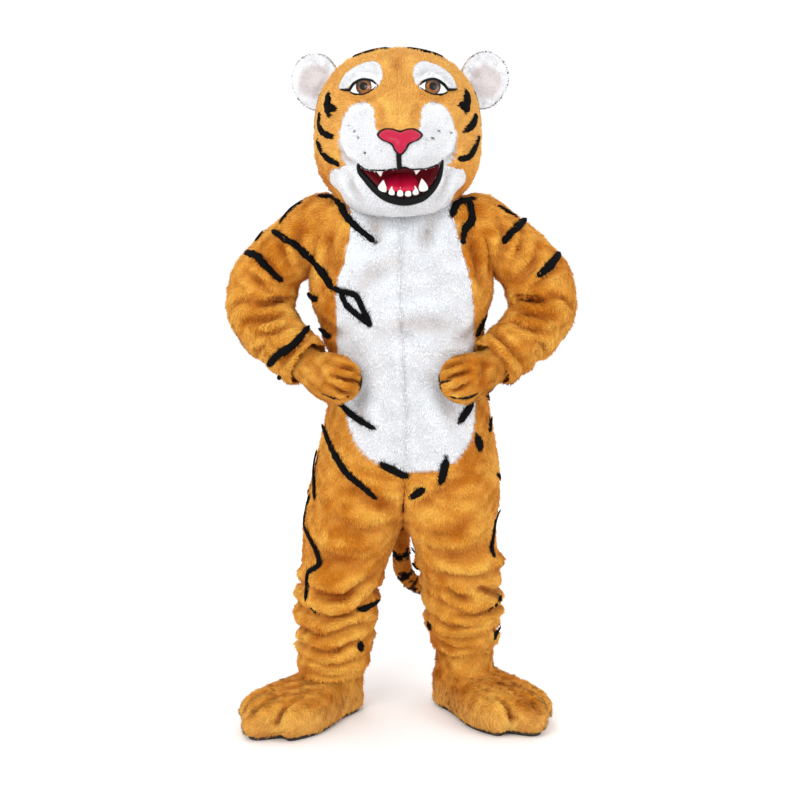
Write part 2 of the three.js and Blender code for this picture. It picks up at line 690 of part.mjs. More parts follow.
// A wedge out of the head's centre through an outline of the front view, moved out by grow.
function faceWedge(corners, steps, grow = 0) {
  const rim = outlineOf(corners, steps, grow).map((p) => faceAngles(p.x, p.z));
  const flat = rim.map((a) => new THREE.Vector2(a.turn, a.lift));
  if (THREE.ShapeUtils.area(flat) < 0) {
    flat.reverse();
    rim.reverse();
  }
  const triangles = THREE.ShapeUtils.triangulateShape(flat, [])
    .map((t) => (THREE.ShapeUtils.area(t.map((k) => flat[k])) < 0 ? [t[0], t[2], t[1]] : t));
  const ray = (a, reach) => headDirection(a.turn, a.lift).multiplyScalar(reach).add(headCentre);
  const points = [WEDGE.from, WEDGE.to].flatMap((reach) => rim.map((a) => ray(a, reach)));
  const faces = triangles.flatMap(([a, b, c]) => [a, c, b, a + steps, b + steps, c + steps]);
  for (let i = 0; i < steps; i += 1) {
    const next = (i + 1) % steps;
    faces.push(i, next, next + steps, i, next + steps, i + steps);
  }
  const geometry = new THREE.BufferGeometry();
  const numbers = points.flatMap((p) => p.toArray());
  geometry.setAttribute('position', new THREE.Float32BufferAttribute(numbers, 3));
  geometry.setIndex(faces);
  return toManifold(volumeOf(geometry) < 0 ? flipped(geometry) : geometry);
}

const swap = (corners) => corners.map(([x, height]) => [2 * HEAD.x - x, height]).reverse();

// Front-view outlines on the wearer's left of the face. The right side is their mirror.
const browOutline = [
  [32, 1752], [58, 1742], [98, 1748], [142, 1758], [148, 1776], [112, 1812], [66, 1822], [36, 1798],
];
const padOutline = [
  [7, 1520], [8, 1596], [38, 1616], [52, 1640], [58, 1688], [90, 1704], [128, 1676],
  [142, 1620], [132, 1562], [104, 1528], [60, 1518],
];
const jawOutline = [
  [-128, 1542], [-60, 1512], [8, 1508], [70, 1512], [122, 1542], [154, 1544], [176, 1548],
  [176, 1500], [146, 1470], [120, 1420], [60, 1398], [-6, 1392], [-72, 1398], [-132, 1420], [-158, 1470],
  [-188, 1500], [-188, 1548], [-166, 1544],
];
const mouthOutline = [
  [-104, 1552], [-60, 1535], [0, 1537], [50, 1535], [92, 1552], [84, 1506], [52, 1462],
  [0, 1444], [-60, 1462], [-96, 1506],
];
const MOUTH_STEPS = 20;
const LIP = 8;

// A raised piece that lies on the face: a fan of rings inside an outline, its top domed.
function facePiece(corners, steps, { lift, thick, dome, rings = 3 }) {
  const rim = outlineOf(corners, steps).map((p) => [p.x, p.z]);
  const [cx, cz] = rim.reduce(([a, b], [x, z]) => [a + x / steps, b + z / steps], [0, 0]);
  const at = (raise) => (u, ring) => {
    const [x, z] = rim[Math.round(u) % steps];
    const out = 1 - ring;
    return facePoint(mix(cx, x, out), mix(cz, z, out), raise(out));
  };
  return solidOf({
    outer: at((out) => lift + thick + dome * (1 - out * out)),
    inner: at(() => lift),
    us: range(0, steps, steps),
    vs: range(0, 1, rings),
    round: true,
    tip: true,
  });
}

const noseOutline = [
  [-54, 1618], [-30, 1628], [-4, 1626], [24, 1628], [46, 1618], [38, 1598], [16, 1586],
  [6, 1572], [-14, 1572], [-24, 1586], [-46, 1598],
];

// An outline with each corner moved away from their middle.
const grown = (corners, by) => {
  const share = 1 / corners.length;
  const [cx, cz] = corners.reduce(([a, b], [x, z]) => [a + x * share, b + z * share], [0, 0]);
  return corners.map(([x, z]) => {
    const length = Math.hypot(x - cx, z - cz);
    return [x + ((x - cx) / length) * by, z + ((z - cz) / length) * by];
  });
};
const EYE = { x: 77, height: 1738, half: 37, tall: 17 };
const almond = [
  [-1, 0], [-0.6, 0.62], [0, 1], [0.6, 0.72], [1, 0.1], [0.55, -0.7], [0, -0.95], [-0.6, -0.7],
];
const eyeOutline = almond
  .map(([a, b]) => [EYE.x + a * EYE.half, EYE.height + b * EYE.tall]);
const disc = (x, height, radius) => range(0, 1, 8).slice(0, 8)
  .map((t) => [x + radius * Math.cos(2 * Math.PI * t), height + radius * Math.sin(2 * Math.PI * t)]);

// The lip: a rounded band along the mouth's edge, fuller below.
function lipBand() {
  const rim = outlineOf(mouthOutline, MOUTH_STEPS);
  const at = rim.map((p) => facePoint(p.x, p.z, -HEAD_WALL / 2));
  return solidOf({
    outer: (u, v) => {
      const i = Math.round(v) % MOUTH_STEPS;
      const before = at[(i + MOUTH_STEPS - 1) % MOUTH_STEPS];
      const along = at[(i + 1) % MOUTH_STEPS].clone().sub(before).normalize();
      const out = at[i].clone().sub(headCentre).normalize();
      const aside = along.clone().cross(out).normalize();
      const full = LIP * mix(0.95, 0.5, smooth(clamp((rim[i].z - 1500) / 50, 0, 1)));
      return at[i].clone()
        .addScaledVector(out, full * Math.cos(2 * Math.PI * u))
        .addScaledVector(aside, full * Math.sin(2 * Math.PI * u));
    },
    us: range(0, 1, 6),
    vs: range(0, MOUTH_STEPS, MOUTH_STEPS),
    round: true,
  });
}

const MOUTH_MIDDLE = 1512;
const MOUTH_DEPTH = 84;

// The lining behind the lips: a bowl whose rim lies behind the head's wall.
function mouthBowl(thick) {
  const rim = outlineOf(mouthOutline, MOUTH_STEPS, LIP + 6).map((p) => [p.x, p.z]);
  const [cx, cz] = [HEAD.x, MOUTH_MIDDLE];
  const at = (raise) => (u, ring) => {
    const [x, z] = rim[Math.round(u) % MOUTH_STEPS];
    const out = 1 - ring;
    return facePoint(mix(cx, x, out), mix(cz, z, out), raise - MOUTH_DEPTH * (1 - out ** 6) ** 0.5);
  };
  return solidOf({
    outer: at(-HEAD_WALL - 1),
    inner: at(-HEAD_WALL - 1 - thick),
    us: range(0, MOUTH_STEPS, MOUTH_STEPS),
    vs: [0, 0.05, 0.16, 0.35, 0.65, 1],
    round: true,
    tip: true,
  });
}

// The tongue: a flat rounded pad with a groove down the middle.
function tonguePad() {
  const lengthwise = new THREE.Vector3(0, -1, -0.35).normalize();
  const up = new THREE.Vector3(0, -0.35, 1).normalize();
  const root = new THREE.Vector3(HEAD.x, -176, 1494);
  return solidOf({
    outer: (u, v) => {
      const turn = 2 * Math.PI * u;
      const ball = Math.sin(Math.PI * v);
      const groove = Math.sin(turn) > 0 ? 5 * Math.exp(-((Math.cos(turn) * 3) ** 2)) * ball : 0;
      return root.clone()
        .addScaledVector(lengthwise, 36 - 36 * Math.cos(Math.PI * v) - 30)
        .add(new THREE.Vector3(Math.cos(turn) * 40 * ball, 0, 0))
        .addScaledVector(up, Math.sin(turn) * 11 * ball - groove);
    },
    us: range(0, 1, 14),
    vs: [0.04, ...range(0.15, 0.85, 4), 0.96],
    round: true,
  });
}

// A tooth: a cone with a rounded tip, standing on its root.
function toothCone(root, length, radius, upward) {
  const shares = [[0, 0], [1, 0], [0.8, 0.4], [0.42, 0.8], [0, 1]];
  const profile = shares.map(([r, h]) => new THREE.Vector2(r * radius, h * length));
  const geometry = new THREE.LatheGeometry(profile, 8);
  geometry.rotateX(upward ? Math.PI / 2 : -Math.PI / 2);
  geometry.translate(root.x, root.y, root.z);
  const merged = bare(geometry);
  return volumeOf(merged) < 0 ? flipped(merged) : merged;
}

// An ear: a round cup, its front hollowed. Rings from the rim to the middle.
const EAR = { x: 234, y: 2, height: 1782, radius: 64, facing: 24 };
function earPiece(side, front) {
  const facing = degrees(EAR.facing);
  const ahead = new THREE.Vector3(Math.sin(facing), -Math.cos(facing), 0);
  const aside = new THREE.Vector3(Math.cos(facing), Math.sin(facing), 0);
  const shift = side.sign > 0 ? 5 : 0;
  const at = (offset) => (u, ring) => {
    const out = 1 - ring;
    const turn = 2 * Math.PI * u;
    return mirrored(side, new THREE.Vector3(EAR.x, EAR.y, EAR.height + shift)
      .addScaledVector(aside, Math.cos(turn) * EAR.radius * out)
      .add(new THREE.Vector3(0, 0, Math.sin(turn) * EAR.radius * out))
      .addScaledVector(ahead, offset(out)));
  };
  const hollow = (out) => -14 + 18 * out ** 2 - 4 * out ** 8;
  const cup = (out) => -34 + 30 * out ** 3;
  return solidOf({
    outer: at((out) => (front ? hollow(out) : hollow(out) - 8 - SEAM)),
    inner: at((out) => (front ? hollow(out) - 8 : Math.min(cup(out), hollow(out) - 8 - SEAM - 3))),
    us: range(0, 1, 14),
    vs: [0, 0.15, 0.5, 1],
    round: true,
    tip: true,
  });
}

// ---------- assembly ----------
const costume = new THREE.Group();
costume.position.z = -SHOULDER_HEIGHT;

function add(name, geometry, material) {
  const clean = bare(geometry);
  const mesh = new THREE.Mesh(clean, new THREE.MeshStandardMaterial(materials[material]));
  mesh.name = name;
  costume.add(mesh);
}

const torso = torsoForm(SEAM);
const bellyCut = cutterOf(outlineOf(bellyOutline, 30), -400, 0);
const bellyHole = cutterOf(outlineOf(bellyOutline, 30, SEAM), -400, 0);

for (const side of SIDES) {
  const armhole = armholeForm(side);
  const frontWall = toManifold(suitPanel(side, PANEL_FROM, 0.5 - PANEL_FROM)).subtract(armhole);
  const backWall = toManifold(suitPanel(side, 0.5 + PANEL_FROM, 1 - PANEL_FROM)).subtract(armhole);
  add(`belly_${side.name}`, fromManifold(frontWall.intersect(bellyCut)), 'white');
  add(`front_${side.name}`, fromManifold(frontWall.subtract(bellyHole)), 'orange');
  add(`back_${side.name}`, fromManifold(backWall), 'orange');
  add(`sleeve_${side.name}`, fromManifold(toManifold(sleeveWall(side)).subtract(torso)), 'orange');
  add(`paw_${side.name}`, pawWall(side), 'orange');
  add(`palm_${side.name}`, palmPad(side), 'black');
  add(`foot_${side.name}`, footWall(side), 'orange');
  add(`sole_${side.name}`, solePlate(side), 'sole');
}
add('tail', fromManifold(toManifold(tailSolid()).subtract(torso)), 'orange');

const skull = toManifold(headForm(0, -HEAD_WALL));
const filled = toManifold(headForm(SEAM));
const mouthHole = faceWedge(mouthOutline, MOUTH_STEPS, LIP + 1);
let shell = skull.subtract(mouthHole);
const panels = [
  ['brow_left', browOutline, 14], ['brow_right', swap(browOutline), 14],
  ['muzzle_left', padOutline, 18], ['muzzle_right', swap(padOutline), 18],
  ['jaw', jawOutline, 28],
];
for (const [name, corners, steps] of panels) {
  add(name, fromManifold(shell.intersect(faceWedge(corners, steps))), 'white');
  shell = shell.subtract(faceWedge(corners, steps, 2 * SEAM));
}
const half = (x) => {
  const box = new THREE.BoxGeometry(600, 1200, 1200);
  box.translate(x, 0, HEAD.height);
  return toManifold(box);
};
add('head_left', fromManifold(shell.intersect(half(HEAD.x + 300 + SEAM / 2))), 'orange');
add('head_right', fromManifold(shell.intersect(half(HEAD.x - 300 - SEAM / 2))), 'orange');

const onFace = (name, geometry, material) => {
  add(name, fromManifold(toManifold(geometry).subtract(filled)), material);
};
const EDGE = 5; // how far a black edging shows round the nose and the eyes
// Each layer on the face: where its underside lies above the skin, its thickness and its dome.
const faceLayers = {
  noseEdge: { lift: -2, thick: 8, dome: 2, rings: 2 },
  nose: { lift: 10.6, thick: 8, dome: 8 },
  lid: { lift: -2, thick: 4.5, dome: 0, rings: 2 },
  eye: { lift: 3.2, thick: 2, dome: 4, rings: 2 },
  iris: { lift: 9.8, thick: 1.5, dome: 0.6, rings: 1 },
  pupil: { lift: 12.6, thick: 0.8, dome: 0.4, rings: 1 },
};
const IRIS_RADIUS = 13;
const PUPIL_RADIUS = 5;
onFace('nose_edge', facePiece(grown(noseOutline, EDGE), 18, faceLayers.noseEdge), 'black');
onFace('nose', facePiece(noseOutline, 18, faceLayers.nose), 'crimson');
add('lip', lipBand(), 'black');
const wallSpace = toManifold(headForm(SEAM, -HEAD_WALL - SEAM));
add('mouth_lining', fromManifold(toManifold(mouthBowl(CLOTH)).subtract(wallSpace)), 'mouth');
add('tongue', fromManifold(toManifold(tonguePad()).subtract(toManifold(mouthBowl(60)))), 'crimson');

const toothTable = [
  { name: 'canine_upper', x: 46, height: 1541, length: 34, radius: 8, up: false },
  { name: 'canine_lower', x: 42, height: 1472, length: 28, radius: 7, up: true },
  { name: 'incisor_outer', x: 20, height: 1466, length: 15, radius: 5.5, up: true },
  { name: 'incisor_inner', x: 7, height: 1464, length: 14, radius: 5.5, up: true },
];
for (const side of SIDES) {
  for (const tooth of toothTable) {
    const root = facePoint(HEAD.x + side.sign * tooth.x, tooth.height, -HEAD_WALL - 16);
    root.z = tooth.height;
    add(`${tooth.name}_${side.name}`, toothCone(root, tooth.length, tooth.radius, tooth.up), 'tooth');
  }
  const placed = side.sign > 0 ? (corners) => corners : swap;
  const eyeDisc = (radius) => placed(disc(EYE.x, EYE.height, radius));
  const onEye = (name, corners, steps, material) => {
    onFace(`${name}_${side.name}`, facePiece(corners, steps, faceLayers[name]), material);
  };
  onEye('lid', placed(grown(eyeOutline, EDGE)), 14, 'black');
  onEye('eye', placed(eyeOutline), 14, 'tooth');
  onEye('iris', eyeDisc(IRIS_RADIUS), 12, 'iris');
  onEye('pupil', eyeDisc(PUPIL_RADIUS), 8, 'black');
  onFace(`ear_${side.name}`, earPiece(side, true), 'white');
  onFace(`ear_back_${side.name}`, earPiece(side, false), 'orange');
}

export default costume;
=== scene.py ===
# %% [markdown]
# # A tiger mascot costume
#
# A mascot suit is sewn from long plush: a knitted backing with pile standing on it. The maker cuts
# flat panels, sews them into a body, sleeves, mittens and boots, and pulls a foam head over the top.
# Here each panel is a thin shell of cloth on the imported model's own form, with its folds pressed
# in, and the pile is built for real as many small leaning tufts joined into one mesh a panel.
# Hair curves would be shorter to write, but tufts of plain faces go wherever a mesh can go.

# %% Load the imported model
import math

import bpy
import numpy as np
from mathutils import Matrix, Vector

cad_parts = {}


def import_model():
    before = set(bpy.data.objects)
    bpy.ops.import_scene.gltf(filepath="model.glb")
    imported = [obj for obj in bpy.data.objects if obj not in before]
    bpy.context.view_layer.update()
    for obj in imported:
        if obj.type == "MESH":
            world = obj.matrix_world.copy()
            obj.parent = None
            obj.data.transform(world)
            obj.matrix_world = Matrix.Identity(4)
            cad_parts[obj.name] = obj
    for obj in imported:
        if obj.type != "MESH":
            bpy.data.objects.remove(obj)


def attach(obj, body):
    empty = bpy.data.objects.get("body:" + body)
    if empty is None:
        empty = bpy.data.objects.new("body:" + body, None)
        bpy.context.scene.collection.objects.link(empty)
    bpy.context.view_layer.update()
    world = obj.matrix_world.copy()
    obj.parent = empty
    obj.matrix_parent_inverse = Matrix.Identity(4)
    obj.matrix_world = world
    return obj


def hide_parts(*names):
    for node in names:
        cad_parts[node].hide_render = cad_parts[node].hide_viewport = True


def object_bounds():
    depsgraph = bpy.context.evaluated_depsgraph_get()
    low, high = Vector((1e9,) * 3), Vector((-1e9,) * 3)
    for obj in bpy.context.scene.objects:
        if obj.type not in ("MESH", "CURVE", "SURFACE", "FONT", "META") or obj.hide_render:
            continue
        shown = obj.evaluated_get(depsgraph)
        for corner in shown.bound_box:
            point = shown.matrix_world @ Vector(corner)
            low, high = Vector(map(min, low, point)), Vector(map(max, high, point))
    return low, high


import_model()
cad_box = [list(corner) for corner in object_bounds()]
SOLES = cad_box[0][2]
MM = 0.001
print("packed model", [[round(x, 3) for x in corner] for corner in cad_box])


def world(points):
    """Millimetres, with heights above the soles, become metres in the model's frame."""
    return points * MM + np.array([0.0, 0.0, SOLES])


# %% [markdown]
# ## Camera, floor and light
#
# The picture is taken from a little above the waist, with a longish lens so that the feet don't grow.
# A huge pale disc is the floor. Its edge lies far away, where it is as bright as the sky behind it.
# The light is that of a white tent: an even sky, one large soft lamp in front and a lesser one
# beside it, so folds show without hard shadows.

# %% Camera
CAMERA = (0.0, -3.8, SOLES + 1.45)
AIM = (0.0, 0.0, SOLES + 0.90)
LENS = 61.8

camera = bpy.data.objects.new("camera", bpy.data.cameras.new("camera"))
camera.data.lens = LENS
camera.location = CAMERA
tilt = math.atan2(CAMERA[2] - AIM[2], AIM[1] - CAMERA[1])
camera.rotation_euler = (math.pi / 2 - tilt, 0.0, 0.0)
bpy.context.collection.objects.link(camera)
bpy.context.scene.camera = camera
bpy.context.scene.view_settings.view_transform = "Standard"
print("camera looks down by", round(math.degrees(tilt), 1), "degrees")


# %% Floor and lamps
def mesh_object(name, points, faces):
    """A mesh object at the origin from arrays of points in metres and of faces."""
    mesh = bpy.data.meshes.new(name)
    sides = faces.shape[1]
    mesh.vertices.add(len(points))
    mesh.vertices.foreach_set("co", np.ascontiguousarray(points, dtype=np.float32).ravel())
    mesh.loops.add(faces.size)
    mesh.loops.foreach_set("vertex_index", faces.astype(np.int32).ravel())
    mesh.polygons.add(len(faces))
    mesh.polygons.foreach_set("loop_start", np.arange(0, faces.size, sides, dtype=np.int32))
    mesh.update(calc_edges=True)
    mesh.shade_smooth()
    piece = bpy.data.objects.new(name, mesh)
    bpy.context.collection.objects.link(piece)
    return piece


def principled(name, colour, roughness, **sockets):
    """A material with one Principled shader, whose even values sit on its own sockets."""
    material = bpy.data.materials.new(name)
    material.use_nodes = True
    shader = material.node_tree.nodes["Principled BSDF"]
    shader.inputs["Base Color"].default_value = (*colour, 1.0)
    shader.inputs["Roughness"].default_value = roughness
    for socket, value in sockets.items():
        shader.inputs[socket.replace("_", " ")].default_value = value
    return material


def dressed(piece, material, slot, *nodes):
    """Gives a piece its finish and body, and says which model nodes it stands for. slot is not used.
    """
    piece.data.materials.append(material)
    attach(piece, "root")
    if nodes:
        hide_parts(*nodes)
    return piece


FLOOR_RADIUS, FLOOR_SIDES, FLOOR_GAP = 60.0, 96, 0.0005
turns = np.linspace(0, 2 * np.pi, FLOOR_SIDES + 1)[:-1]
disc = np.stack([
    np.cos(turns) * FLOOR_RADIUS, np.sin(turns) * FLOOR_RADIUS, 0 * turns + SOLES - FLOOR_GAP,
], -1)
floor = mesh_object("floor", disc, np.arange(FLOOR_SIDES)[None])
floor.data.materials.append(principled("floor_paper", (0.965, 0.965, 0.965), 1.0,
                                       Specular_IOR_Level=0.0))

sky = bpy.data.worlds.new("tent")
sky.use_nodes = True
sky.node_tree.nodes["Background"].inputs["Color"].default_value = (1.0, 1.0, 1.0, 1.0)
sky.node_tree.nodes["Background"].inputs["Strength"].default_value = 1.05
bpy.context.scene.world = sky


def lamp(name, place, aim, size, power):
    """A square soft lamp at a place, turned to an aim."""
    light = bpy.data.lights.new(name, "AREA")
    light.size = size
    light.energy = power
    holder = bpy.data.objects.new(name, light)
    holder.location = place
    away = np.array(place) - np.array(aim)
    flat = math.hypot(away[0], away[1])
    holder.rotation_euler = (math.atan2(flat, away[2]), 0.0, math.atan2(away[0], -away[1]))
    bpy.context.collection.objects.link(holder)


CHEST = (0.0, 0.0, SOLES + 1.1)
lamp("softbox_front", (-1.6, -3.4, SOLES + 3.0), CHEST, 1.8, 62)
lamp("softbox_side", (3.0, -1.6, SOLES + 2.4), CHEST, 1.8, 22)
lamp("softbox_back", (-1.2, 3.4, SOLES + 3.0), CHEST, 2.0, 30)

# %% [markdown]
# ## Reading tables
#
# A garment's form is written as a table of its sections: at this height it is so wide and so deep.
# Between two rows the values follow a cubic curve. If its slope at each row is the harmonic mean of
# the slopes on either side, the curve never swings past a row, so cloth doesn't bulge by accident.


# %% Table reader
def read(table, at):
    """Every column of a table at places between its rows: cubic pieces whose slope at a row is
    the harmonic mean of the slopes before and after it, or zero where these differ in sign."""
    rows = np.array(table, dtype=float)
    rows = rows[np.argsort(rows[:, 0])]
    keys, values = rows[:, 0], rows[:, 1:]
    step = np.diff(keys)[:, None]
    slope = np.diff(values, axis=0) / step
    before, after = slope[:-1], slope[1:]
    both = before * after > 0
    mean = np.where(both, 2 * before * after / np.where(both, before + after, 1.0), 0.0)
    tangent = np.concatenate([slope[:1], mean, slope[-1:]])
    place = np.clip(at, keys[0], keys[-1])
    i = np.clip(np.searchsorted(keys, place, side="right") - 1, 0, len(keys) - 2)
    share = ((place - keys[i]) / (keys[i + 1] - keys[i]))[..., None]
    rest = 1 - share
    return (
        values[i] * (1 + 2 * share) * rest**2
        + values[i + 1] * share**2 * (3 - 2 * share)
        + step[i] * (tangent[i] * share * rest**2 - tangent[i + 1] * share**2 * rest)
    )


def columns(table, at):
    """The columns of a table at the given places, one array each."""
    return np.moveaxis(read(table, at), -1, 0)


def ease(share):
    """0 to 1 with a level start and end."""
    share = np.clip(share, 0, 1)
    return share * share * (3 - 2 * share)


def unit(vectors):
    """Vectors divided by their lengths."""
    return vectors / np.maximum(np.linalg.norm(vectors, axis=-1, keepdims=True), 1e-9)


WAVES = 8


def ripple(points, size, seed):
    """Smooth noise of about one unit: a sum of sines along random directions, with wavelengths
    round the given size."""
    rng = np.random.default_rng(seed)
    directions = unit(rng.normal(size=(WAVES, 3)))
    pitch = 2 * np.pi / (size * rng.uniform(0.7, 1.5, WAVES))
    phase = rng.uniform(0, 2 * np.pi, WAVES)
    return np.sin(points @ (directions * pitch[:, None]).T + phase).sum(-1) / math.sqrt(WAVES / 2)


# %% [markdown]
# ## The body suit's form
#
# One half of the suit is one surface of two parameters. The first runs round it, from the front
# centre (or the inseam of a leg) by way of the side seam to the back centre. The second is the
# height. Above the rise the section is half a rounded box, below the crotch it is a whole leg, and
# between them it moves over from one to the other, latest at the centre lines.

# %% Body suit
NECK_TOP, RISE_TOP, CROTCH = 1480, 770, 559
SQUARE = 0.86  # under 1, a section is fuller than an ellipse
SIDES = {
    "left": {"sign": 1, "hem": 178, "ankle_back": 38, "splay": 38, "ankle_out": 187,
             "sleeve_out": 8},
    "right": {"sign": -1, "hem": 116, "ankle_back": -4, "splay": 42, "ankle_out": 198,
              "sleeve_out": 0},
}
# height, middle, half width right, half width left, depth in front, depth behind
TORSO = [
    (1480, 2, 106, 106, 80, 84), (1467, 3, 148, 148, 88, 104), (1457, 4, 200, 202, 95, 118),
    (1440, 5, 238, 242, 104, 126), (1400, 4, 250, 254, 118, 133), (1310, 3, 252, 253, 133, 136),
    (1202, 2, 250, 252, 140, 132), (1113, 5, 224, 226, 142, 124), (1060, 9, 214, 217, 144, 122),
    (985, 12, 214, 222, 149, 126), (889, 18, 218, 228, 154, 140), (798, 18, 236, 244, 155, 156),
    (706, 15, 256, 262, 151, 162), (620, 10, 270, 268, 147, 156), (559, 8, 279, 261, 143, 150),
]
# height, inner edge, outer edge, depth in front, depth behind, how far back the middle lies
LEGS = {
    "left": [
        (559, 8, 269, 143, 150, 0), (498, 36, 270, 130, 134, 2), (436, 52, 284, 124, 122, 6),
        (384, 63, 278, 112, 114, 12), (337, 72, 280, 106, 108, 18), (290, 72, 279, 102, 104, 25),
        (242, 82, 278, 98, 99, 31), (195, 93, 272, 93, 94, 36), (160, 98, 272, 91, 91, 38),
    ],
    "right": [
        (559, -8, 271, 143, 150, 0), (498, 14, 273, 132, 136, -2), (436, 38, 276, 124, 124, -3),
        (384, 58, 282, 116, 116, -4), (337, 67, 281, 112, 110, -4), (290, 70, 288, 108, 106, -4),
        (242, 78, 286, 104, 102, -4), (195, 84, 284, 100, 98, -4), (116, 102, 290, 98, 94, -4),
    ],
}
# height, how far the roll stands out, its spread, the turn it faces
LEG_ROLLS = {
    "left": [
        (428, 16, 20, 0.3), (340, 12, 15, 0.15), (292, 13, 14, 0.4), (246, 12, 13, 0.2),
        (203, 12, 12, 0.45),
    ],
    "right": [
        (395, 10, 18, 0.2), (345, 12, 15, 0.35), (292, 16, 16, 0.45), (240, 12, 14, 0.2),
        (195, 13, 14, 0.4), (150, 12, 13, 0.25),
    ],
}


def rolls(table, u, at):
    """How far gathered rolls stand out: a bell across each, fullest where the roll faces."""
    return sum(
        reach * np.exp(-(((at - key) / spread) ** 2))
        * (0.65 + 0.35 * np.cos(2 * np.pi * (u - facing)))
        for key, reach, spread, facing in table
    )


def suit(side, u, height):
    """One half of the suit: a rounded half box above the rise, a whole leg below the crotch."""
    sign = SIDES[side]["sign"]
    middle, right, left, front, back = columns(TORSO, height)
    half = left if side == "left" else right
    middle = sign * middle
    turn = np.pi * np.clip(u, 0, 1)
    cosine = np.cos(turn)
    torso_x = middle + half * np.clip(np.sin(turn), 0, 1) ** SQUARE
    torso_y = -np.sign(cosine) * np.where(cosine > 0, front, back) * np.abs(cosine) ** SQUARE
    inner, outer, leg_front, leg_back, leg_middle = columns(LEGS[side], height)
    low = height < CROTCH
    inner, outer = np.where(low, inner, middle), np.where(low, outer, middle + half)
    leg_front, leg_back = np.where(low, leg_front, front), np.where(low, leg_back, back)
    swell = np.where(low, rolls(LEG_ROLLS[side], u, height), 0)
    leg_x = (inner + outer) / 2 - ((outer - inner) / 2 + swell) * np.cos(2 * turn)
    depth = np.where(turn < np.pi / 2, leg_front, leg_back) + swell
    leg_y = np.where(low, leg_middle, 0) - depth * np.sin(2 * turn)
    down = np.clip((RISE_TOP - height) / (RISE_TOP - CROTCH), 0, 1)
    share = ease(down) + (1 - np.sqrt(1 - down**2) - ease(down)) * np.abs(cosine) ** 3
    x = torso_x + (leg_x - torso_x) * share
    y = torso_y + (leg_y - torso_y) * share
    return np.stack([sign * x, y, height + 0 * u], -1)


# %% [markdown]
# ## Sleeves, mittens, boots and tail
#
# These are tubes round a bent line. At each place along the line one cross direction lies in the
# plane of the bend and the other one points back, so the tube can be wider one way than the other.
# A boot isn't a tube but a stack of rounded levels that reach forward as they near the floor.

# %% Tubes
# along, out from the middle, back, height, half width in the plane of the bend, half depth
SLEEVE = [
    (0.0, 150, 4, 1394, 62, 80), (0.08, 204, 4, 1388, 84, 88), (0.2, 266, 5, 1350, 79, 85),
    (0.38, 338, 8, 1282, 84, 86),
    (0.5, 379, 8, 1216, 93, 88), (0.6, 388, -2, 1160, 91, 87), (0.7, 363, -28, 1110, 83, 82),
    (0.8, 321, -62, 1072, 74, 73), (0.9, 285, -92, 1042, 71, 67), (1.0, 250, -116, 1017, 66, 62),
]
# along, how far the roll stands out, its spread, the turn it faces
SLEEVE_ROLLS = [
    (0.33, 6, 0.035, 0.5), (0.46, 5, 0.03, 0.5), (0.74, 8, 0.032, 0.1), (0.86, 8, 0.028, 0.0),
    (0.96, 9, 0.026, 0.05),
]
PAW = [
    (0.0, 272, -104, 1028, 44, 40), (0.25, 238, -130, 1005, 48, 42), (0.5, 202, -156, 990, 62, 45),
    (0.75, 162, -176, 978, 65, 44), (1.0, 106, -187, 964, 50, 34),
]
TAIL = [
    (0.0, 14, 120, 850, 34), (0.15, 14, 196, 770, 32), (0.35, 8, 216, 640, 29),
    (0.55, 0, 196, 510, 26),
    (0.7, 6, 182, 378, 25), (0.8, 40, 186, 322, 24), (0.9, 96, 196, 304, 22),
    (1.0, 150, 204, 336, 16),
]
FINGERS, FINGER_DEPTH = 4, 0.08


def tube(table, along, out=0):
    """The middle line of a tube and its two cross directions: back, made square to the line, and
    the direction square to both. out moves the middle of the bend away from the body."""
    def middle(a):
        """The middle line alone."""
        x, y, height = columns(table, np.clip(a, 0, 1))[:3]
        return np.stack([x + out * ease(1 - np.abs(2 * a - 1)), y, height], -1)
    tangent = unit(middle(np.clip(along + 0.01, 0, 1)) - middle(np.clip(along - 0.01, 0, 1)))
    deep = unit(np.array([0.0, 1.0, 0.0]) - tangent * tangent[..., 1:2])
    return middle(along), np.cross(tangent, deep), deep


def ring(centre, across, deep, u, half, depth):
    """Centre plus the cosine of the turn across and its sine deep."""
    turn = 2 * np.pi * u
    wide, far = (np.cos(turn) * half)[..., None], (np.sin(turn) * depth)[..., None]
    return centre + across * wide + deep * far


def mirrored(side, points):
    """Points of the left side, with x turned over for the right one."""
    return points * np.array([SIDES[side]["sign"], 1.0, 1.0])


def sleeve(side, u, along):
    """A sleeve: the ring of its tube, widened by the gathered rolls."""
    centre, across, deep = tube(SLEEVE, along, SIDES[side]["sleeve_out"])
    half, depth = columns(SLEEVE, along)[3:]
    swell = rolls(SLEEVE_ROLLS, u, along)
    return mirrored(side, ring(centre, across, deep, u, half + swell, depth + swell))


def paw(side, u, along):
    """A mitten: round at its end, with finger lobes that deepen towards it."""
    centre, across, deep = tube(PAW, along)
    half, depth = columns(PAW, along)[3:]
    end = np.sqrt(np.maximum(0, 1 - np.clip((along - 0.72) / 0.28, 0, 1) ** 2.4))
    late = ease((along - 0.45) / 0.3)
    lobes = 1 + FINGER_DEPTH * np.cos(FINGERS * np.pi * np.cos(2 * np.pi * u)) * late
    return mirrored(side, ring(centre, across, deep, u, half * end, depth * lobes * end))


def tail(u, along):
    """A round tube whose last stretch closes as a half circle does."""
    centre, across, deep = tube(TAIL, along)
    half = columns(TAIL, along)[3]
    half = half * np.sqrt(np.maximum(0, 1 - np.clip((along - 0.94) / 0.06, 0, 1) ** 2))
    return ring(centre, across, deep, u, half, half)


